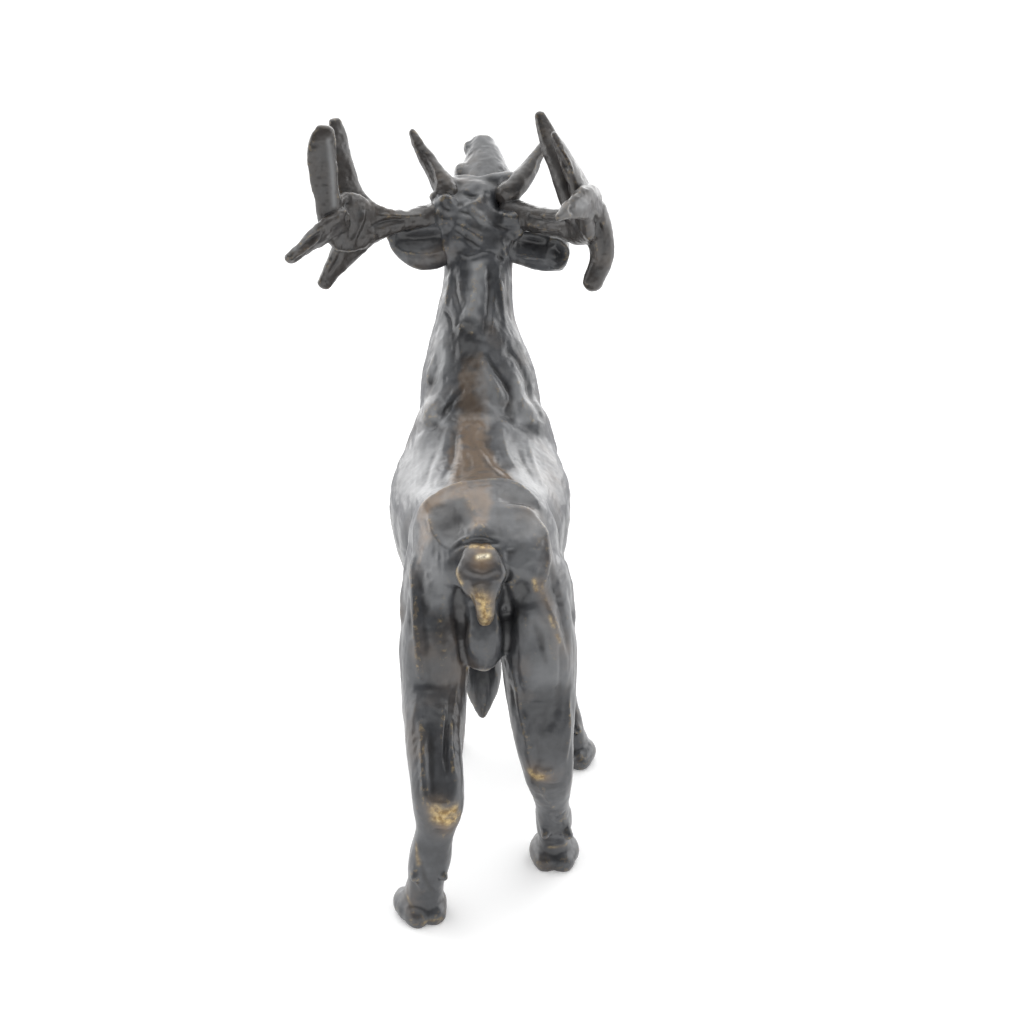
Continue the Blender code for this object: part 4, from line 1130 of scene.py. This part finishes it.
def patina(name, dark, sheen, gloss):
    """Waxed dark patina over bronze, worn through to brown and then to bright metal, with painted shade in
    hollows and on planes in shade, and painted highlights on planes that catch the light.
    """
    material, tree, shader = nodes_of(name)
    fine = grain(tree, 1600, 5)
    skin = blend(tree, ramp(tree, grain(tree, 260, 4), 0.35, 0.65), (*dark, 1), (*sheen, 1))
    patches = times(tree, ramp(tree, grain(tree, 120, 3), 0.52, 0.75), 0.45)
    bloom = ramp(tree, grain(tree, 500, 5), 0.22, 0.5)
    brown = times(tree, larger(tree, mark(tree, "brown"), patches), bloom)
    skin = blend(tree, brown, skin, (0.122, 0.081, 0.048, 1))
    # painted highlight: light grey on the planes and ridges that catch the light
    skin = blend(tree, mark(tree, "pale"), skin, (0.200, 0.206, 0.212, 1))
    # painted shade: near black in the hollows and on the planes and clefts that lie in shade
    painted_shade = times(tree, larger(tree, mark(tree, "hollow"), mark(tree, "painted_shade")), 0.8)
    skin = blend(tree, painted_shade, skin, (0.012, 0.012, 0.013, 1))
    edge = times(tree, ramp(tree, mark(tree, "edge"), 0.55, 1.0), ramp(tree, fine, 0.5, 0.72))
    speckle = ramp(tree, grain(tree, 900, 5, 0.7), 0.3, 0.5)
    gold = larger(tree, times(tree, mark(tree, "gold"), speckle), times(tree, edge, 0.35))
    polish = ramp(tree, grain(tree, 1300, 6), 0.38, 0.62)
    metal = blend(tree, polish, (0.20, 0.125, 0.045, 1), (0.56, 0.42, 0.20, 1))
    # worn metal lightened to near white at the tail top, partly a painted highlight
    metal = blend(tree, mark(tree, "bright"), metal, (0.90, 0.82, 0.62, 1))
    feed(tree, shader.inputs["Base Color"], blend(tree, gold, skin, metal))
    feed(tree, shader.inputs["Metallic"], times(tree, gold, 0.75))
    ends = {"To_Min": gloss - 0.06, "To_Max": gloss + 0.12}
    rough = wire(tree, "ShaderNodeMapRange", Value=fine, **ends)
    feed(tree, shader.inputs["Roughness"], rough.outputs["Result"])
    shader.inputs["IOR"].default_value = 1.6
    shader.inputs["Coat Weight"].default_value = 0.25
    shader.inputs["Coat Roughness"].default_value = 0.22
    pits = grain(tree, 900, 6)
    bump = wire(tree, "ShaderNodeBump", Height=pits, Strength=0.25, Distance=0.00012)
    feed(tree, shader.inputs["Normal"], bump.outputs["Normal"])
    return material


def shown(name, mesh, material, slot, *stands_for):
    """Puts a finished casting in place of the plain solids that it stands for."""
    piece = placed(name, mesh)
    mesh.materials.clear()
    mesh.materials.append(material)
    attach(piece, "root")
    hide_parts(*stands_for)


BRONZE = patina("dark_patina", (0.022, 0.024, 0.028), (0.054, 0.057, 0.063), 0.36)
HORN = patina("antler_patina", (0.013, 0.013, 0.014), (0.034, 0.035, 0.037), 0.35)

stag = Wax(pressed(add_stag, "stag", SKIN_VOXEL, 16))
sculpt_stag(stag)
stag.roughen(3.6, 0.20, 3, stretch=(1.2, 0.8, 1.4))
stag.roughen(1.3, 0.06, 4, stretch=(3.4, 0.8, 1.3), where=on_barrel)
stag.roughen(1.0, 0.05, 9, stretch=(5.0, 0.8, 1.0), sharp=True, where=on_barrel)
stag.roughen(1.3, 0.07, 6, stretch=(0.9, 0.8, 3.2), where=off_barrel)
stag.roughen(0.9, 0.05, 8, stretch=(0.9, 0.8, 4.5), sharp=True, where=off_barrel)
stag.roughen(1.6, 0.22, 13, where=on_skull)
stag.roughen(0.7, 0.03, 5, stretch=(1.3, 0.8, 1.3))
stag.relax(1)
stag.refresh()
stag.paint(STAG_PAINT)
for node, mesh in parted(stag.finished()).items():
    shown(node.replace("casting", "bronze"), mesh, BRONZE, "dark_bronze", node)


# strokes on the pieces that are cast by themselves: seen from, then rows as in the stag's form
LEFT_HORN = (
    ("behind", (
        (0.8, -0.3, ((-24, 105), (-24.5, 101), (-24.2, 96.5), (-23.6, 93))),
        (0.5, 0.3, ((-23, 105), (-22.8, 100), (-22.6, 95), (-22.8, 91.5))),
        (0.5, -0.45, ((-21.6, 97), (-21, 93), (-20.6, 89))),
        (0.5, 0.35, ((-19.4, 96), (-19, 92), (-20.6, 88))),
        (0.45, -0.4, ((-12, 91.6), (-15, 91.4), (-18, 90.6))),
        (0.45, 0.3, ((-9, 92), (-13, 91.9), (-17, 92.6))),
        (0.4, -0.4, ((-24.6, 91.4), (-26.6, 89.9), (-28.6, 88.4))),
        (0.3, 0.35, ((-25, 90.4), (-27, 88.8), (-29, 87.4))),
        (0.4, -0.4, ((-21.4, 88.6), (-23.2, 85.4), (-25, 82.6))),
        (0.5, -0.4, ((-7.2, 96), (-8.4, 99), (-9.8, 101.6))),
    )),
)
RIGHT_HORN = (
    ("behind", (
        (0.5, -0.55, ((11.4, 105), (13.4, 101), (15.4, 96.6))),
        (0.35, 0.4, ((12.6, 104), (14.4, 100.5), (16.4, 97))),
        (0.5, -0.5, ((13.4, 99), (14.2, 95), (15, 92))),
        (0.45, -0.45, ((17.6, 94.6), (19.4, 90.8), (20.2, 86.4))),
        (0.4, 0.35, ((16.6, 92), (18.6, 88.6), (19, 84.6))),
        (0.45, -0.45, ((8, 91.6), (11, 91.3), (14, 91.6))),
        (0.4, 0.35, ((7.6, 90.4), (10.6, 90), (13.6, 89.8))),
        (0.5, -0.45, ((8, 95), (9.4, 98), (10.6, 100.6))),
    )),
    ("above", (
        (0.4, 0.3, ((55, 16.4), (51, 15.6), (47.6, 13.6))),
    )),
)
LEFT_EAR = (
    ("behind", (
        (1.3, -1.1, ((-5.6, 88.2), (-8.6, 88), (-12, 88), (-14, 88.4))),
        (0.5, 0.3, ((-6, 86), (-9, 85.4), (-12.4, 86), (-14.4, 87.4))),
        (0.3, 0.4, ((-7.6, 89.2), (-9, 87.8), (-9.4, 86.4))),
        (0.3, 0.35, ((-10, 89), (-11, 88), (-11.2, 86.8))),
    )),
    ("front", (
        (1.2, -0.9, ((-7.2, 86.6), (-10.2, 86.3), (-13, 86.8))),
    )),
)
RIGHT_EAR = (
    ("behind", (
        (1.2, -1.1, ((5.6, 87.6), (8.4, 87), (11.4, 86.4))),
        (0.4, 0.6, ((11.4, 87.6), (13.4, 87.2), (14.6, 85.4), (13.8, 83.2), (12, 82.6))),
        (0.6, -0.8, ((12.4, 86.4), (13.4, 85), (12.8, 83.8))),
        (0.35, 0.4, ((6, 85.2), (8.6, 84.6), (11, 84.2))),
        (0.35, 0.4, ((7.6, 88), (8.8, 86.6), (9.4, 85))),
    )),
    ("front", (
        (1.2, -0.9, ((7.2, 86.2), (10.2, 85.4), (12.8, 85))),
    )),
)
TAIL_CUTS = (
    ("behind", (
        (0.5, -0.35, ((-0.2, 50.6), (0.1, 48), (0.3, 45.6))),
        (0.5, -0.3, ((-2.2, 51), (-1.4, 48.4), (-0.8, 46))),
        (0.5, -0.3, ((2, 51), (1.6, 48.4), (1.1, 46))),
        (0.4, 0.25, ((-1.2, 50.6), (-0.7, 48), (-0.3, 45.4))),
        (0.6, -0.35, ((-2.6, 52.6), (0, 52), (2.4, 52.6))),
    )),
)
# painted shade in the groove of the upper tine, and painted highlights along its ridge and along the lower
# tine
LEFT_HORN_PAINT = (
    ("painted_shade", 0.9, 0.5, ((-24.2, 104), (-24.6, 99), (-24.2, 94))),
    ("pale", 0.45, 0.6, ((-23.4, 105), (-23, 100), (-23, 95))),
    ("pale", 0.5, 0.5, ((-26, 91.4), (-29, 88.6))),
)
# a painted highlight on the hooked tine, and painted shade at the base of the beam
RIGHT_HORN_PAINT = (
    ("pale", 1.1, 0.45, ((16.6, 95.4), (14.6, 95.4), (12.6, 94.6))),
    ("painted_shade", 0.8, 0.8, ((7, 89.6), (11, 89))),
)
# painted shade in the cup of the ear, and a painted highlight along its lower edge
LEFT_EAR_PAINT = (
    ("painted_shade", 1.5, 1, ((-5, 88.2), (-9, 88), (-12.6, 88.2))),
    ("pale", 1, 0.35, ((-9, 84.6), (-12, 84.8))),
)
# painted shade in the cup of the ear and in its curled tip
RIGHT_EAR_PAINT = (
    ("painted_shade", 1.4, 1, ((5, 87.4), (8.4, 86.8), (11.2, 86.2))),
    ("painted_shade", 0.8, 0.9, ((12.6, 85.6), (13, 84.4))),
)
TAIL_PAINT = (
    # the top of the tail: worn metal, lightened to near white as a partly painted highlight
    ("bright", 0.45, 1, ((-0.4, 53.9), (0.8, 54))),
    ("gold", 0.35, 0.9, ((-1.4, 54.9), (0.2, 54.9), (1.6, 54.7))),
    ("gold", 0.45, 1, ((-0.4, 53.9), (0.8, 54))),
    ("gold", 1, 0.75, ((-0.6, 48.8), (0.4, 48))),
    ("gold", 0.75, 1, ((0.2, 47.6), (0.5, 46.4), (0.6, 44.6))),
    ("gold", 0.35, 0.7, ((-3.4, 52.2), (-2.8, 50.6))),
    ("brown", 1.6, 1, ((0, 55), (0, 53.4))),
    ("brown", 1.3, 1, ((0, 49.4), (0.2, 44))),
    # painted shade in the groove across the tail
    ("painted_shade", 0.7, 0.9, ((-0.6, 50.2), (1, 50))),
)
# name, limbs, strokes, roughness, paint, share of brown all over, material, slot
FITTED = (
    ("antler_left", ANTLER_LEFT, LEFT_HORN, 0.13, LEFT_HORN_PAINT, 0.12, HORN, "antler_bronze"),
    ("antler_right", ANTLER_RIGHT, RIGHT_HORN, 0.09, RIGHT_HORN_PAINT, 0.12, HORN, "antler_bronze"),
    ("ear_left", (((0, 0, 1), EAR_LEFT),), LEFT_EAR, 0.08, LEFT_EAR_PAINT, 0, BRONZE, "dark_bronze"),
    ("ear_right", (((0, 0, 1), EAR_RIGHT),), RIGHT_EAR, 0.08, RIGHT_EAR_PAINT, 0, BRONZE, "dark_bronze"),
    ("tail", (((1, 0, 0), TAIL),), TAIL_CUTS, 0.07, TAIL_PAINT, 0, BRONZE, "dark_bronze"),
)
for name, limbs, cuts, rough, paint, brown, material, slot in FITTED:
    wax = Wax(pressed(lambda body: add_fan(body, limbs), name, FINE_VOXEL, 2))
    wax.roughen(3.2, 1.5 * rough, 6)
    wax.refresh()
    for seen_from, rows in cuts:
        wax.strokes(rows, seen_from)
    wax.refresh()
    wax.roughen(1.1, 0.9 * rough, 7, stretch=(1, 1, 2.4))
    wax.roughen(0.6, 0.5 * rough, 8)
    wax.refresh()
    wax.marks["brown"] += brown
    wax.paint(paint)
    shown(name + "_bronze", wax.finished(), material, slot, name + "_casting")

PIN = patina("pin_metal", (0.030, 0.023, 0.016), (0.070, 0.050, 0.028), 0.36)
for name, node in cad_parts.items():
    if not name.endswith("casting"):
        node.data.materials.clear()
        node.data.materials.append(PIN)


def plain(name, colour, roughness, glow=0.0):
    """Matt paper, for the floor and the cards."""
    material, tree, shader = nodes_of(name)
    shade = blend(tree, grain(tree, 40, 2), (*colour, 1), (*[c * 0.985 for c in colour], 1))
    feed(tree, shader.inputs["Base Color"], shade)
    shader.inputs["Roughness"].default_value = roughness
    shader.inputs["Emission Color"].default_value = (1, 1, 1, 1)
    shader.inputs["Emission Strength"].default_value = glow
    return material


ground = bmesh.new()
bmesh.ops.create_grid(ground, x_segments=1, y_segments=1, size=60.0)
floor = placed("floor", mesh_of(ground, "floor"))
floor.data.materials.append(plain("white_paper", (0.93, 0.93, 0.93), 0.9, 0.16))


def soft_light(name, place, target, size, watts, reflected_only=False):
    light = bpy.data.lights.new(name, "AREA")
    light.shape = "RECTANGLE"
    light.size, light.size_y = size
    light.energy = watts
    lamp = placed(name, light)
    lamp.location = place
    lamp.rotation_mode = "QUATERNION"
    lamp.rotation_quaternion = (Vector(target) - Vector(place)).to_track_quat("-Z", "Y")
    lamp.visible_camera = False
    lamp.visible_diffuse = not reflected_only


def card(name, place, tilt, size, shade, turn=0):
    """A studio card seen only in reflections."""
    sheet = bmesh.new()
    bmesh.ops.create_grid(sheet, x_segments=1, y_segments=1, size=0.5)
    bmesh.ops.scale(sheet, vec=(size[0], size[1], 1), verts=sheet.verts)
    flag = placed(name, mesh_of(sheet, name))
    flag.location = place
    flag.rotation_euler = (math.radians(tilt), 0, math.radians(turn))
    flag.visible_camera = False
    flag.visible_diffuse = False
    flag.visible_shadow = False
    flag.data.materials.append(plain(name, (shade, shade, shade * 1.04), 0.9))


card("dark_card_behind", (0.0, 0.75, 0.52), 84, (3.0, 1.0), 0.03)
card("grey_card_ahead", (0.0, -0.75, 0.001), 0, (2.4, 1.1), 0.55)
for side in (-1, 1):
    card("side_card_" + ("right", "", "left")[side + 1], (0.95 * side, 0.15, 0.52), 90, (1.5, 1.0), 0.10, 90)

soft_light("far_backdrop", (0.0, -0.75, 0.34), (0, 0, 0.06), (1.6, 0.6), 5.6, reflected_only=True)
soft_light("overhead", (0.0, -0.25, 0.7), (0, 0, 0.05), (1.0, 0.6), 2.2)
soft_light("left_side", (0.7, -0.15, 0.25), (0, 0, 0.06), (0.7, 0.5), 2.6, reflected_only=True)
soft_light("right_side", (-0.7, -0.15, 0.25), (0, 0, 0.06), (0.7, 0.5), 2.6, reflected_only=True)

world = bpy.data.worlds.new("studio")
bpy.context.scene.world = world
world.use_nodes = True
sky = world.node_tree
sky.nodes["Background"].inputs["Strength"].default_value = 1.15
sky.nodes["Background"].inputs["Color"].default_value = (1, 1, 1, 1)

# the eye stands behind the stag and looks a little down on it
EYE = (-217.6, 0, 127.1)
YAW = 1.08
PITCH = 17
camera = placed("camera", bpy.data.cameras.new("camera"))
camera.data.sensor_width = 36
camera.data.lens = 59.766
camera.data.clip_start = 0.005
camera.location = at(*EYE)
yaw, pitch = math.radians(YAW), math.radians(PITCH)
look = Vector((-math.sin(yaw) * math.cos(pitch), -math.cos(yaw) * math.cos(pitch), -math.sin(pitch)))
camera.rotation_mode = "QUATERNION"
camera.rotation_quaternion = look.to_track_quat("-Z", "Y")
bpy.context.scene.camera = camera
bpy.context.scene.view_settings.view_transform = "Standard"
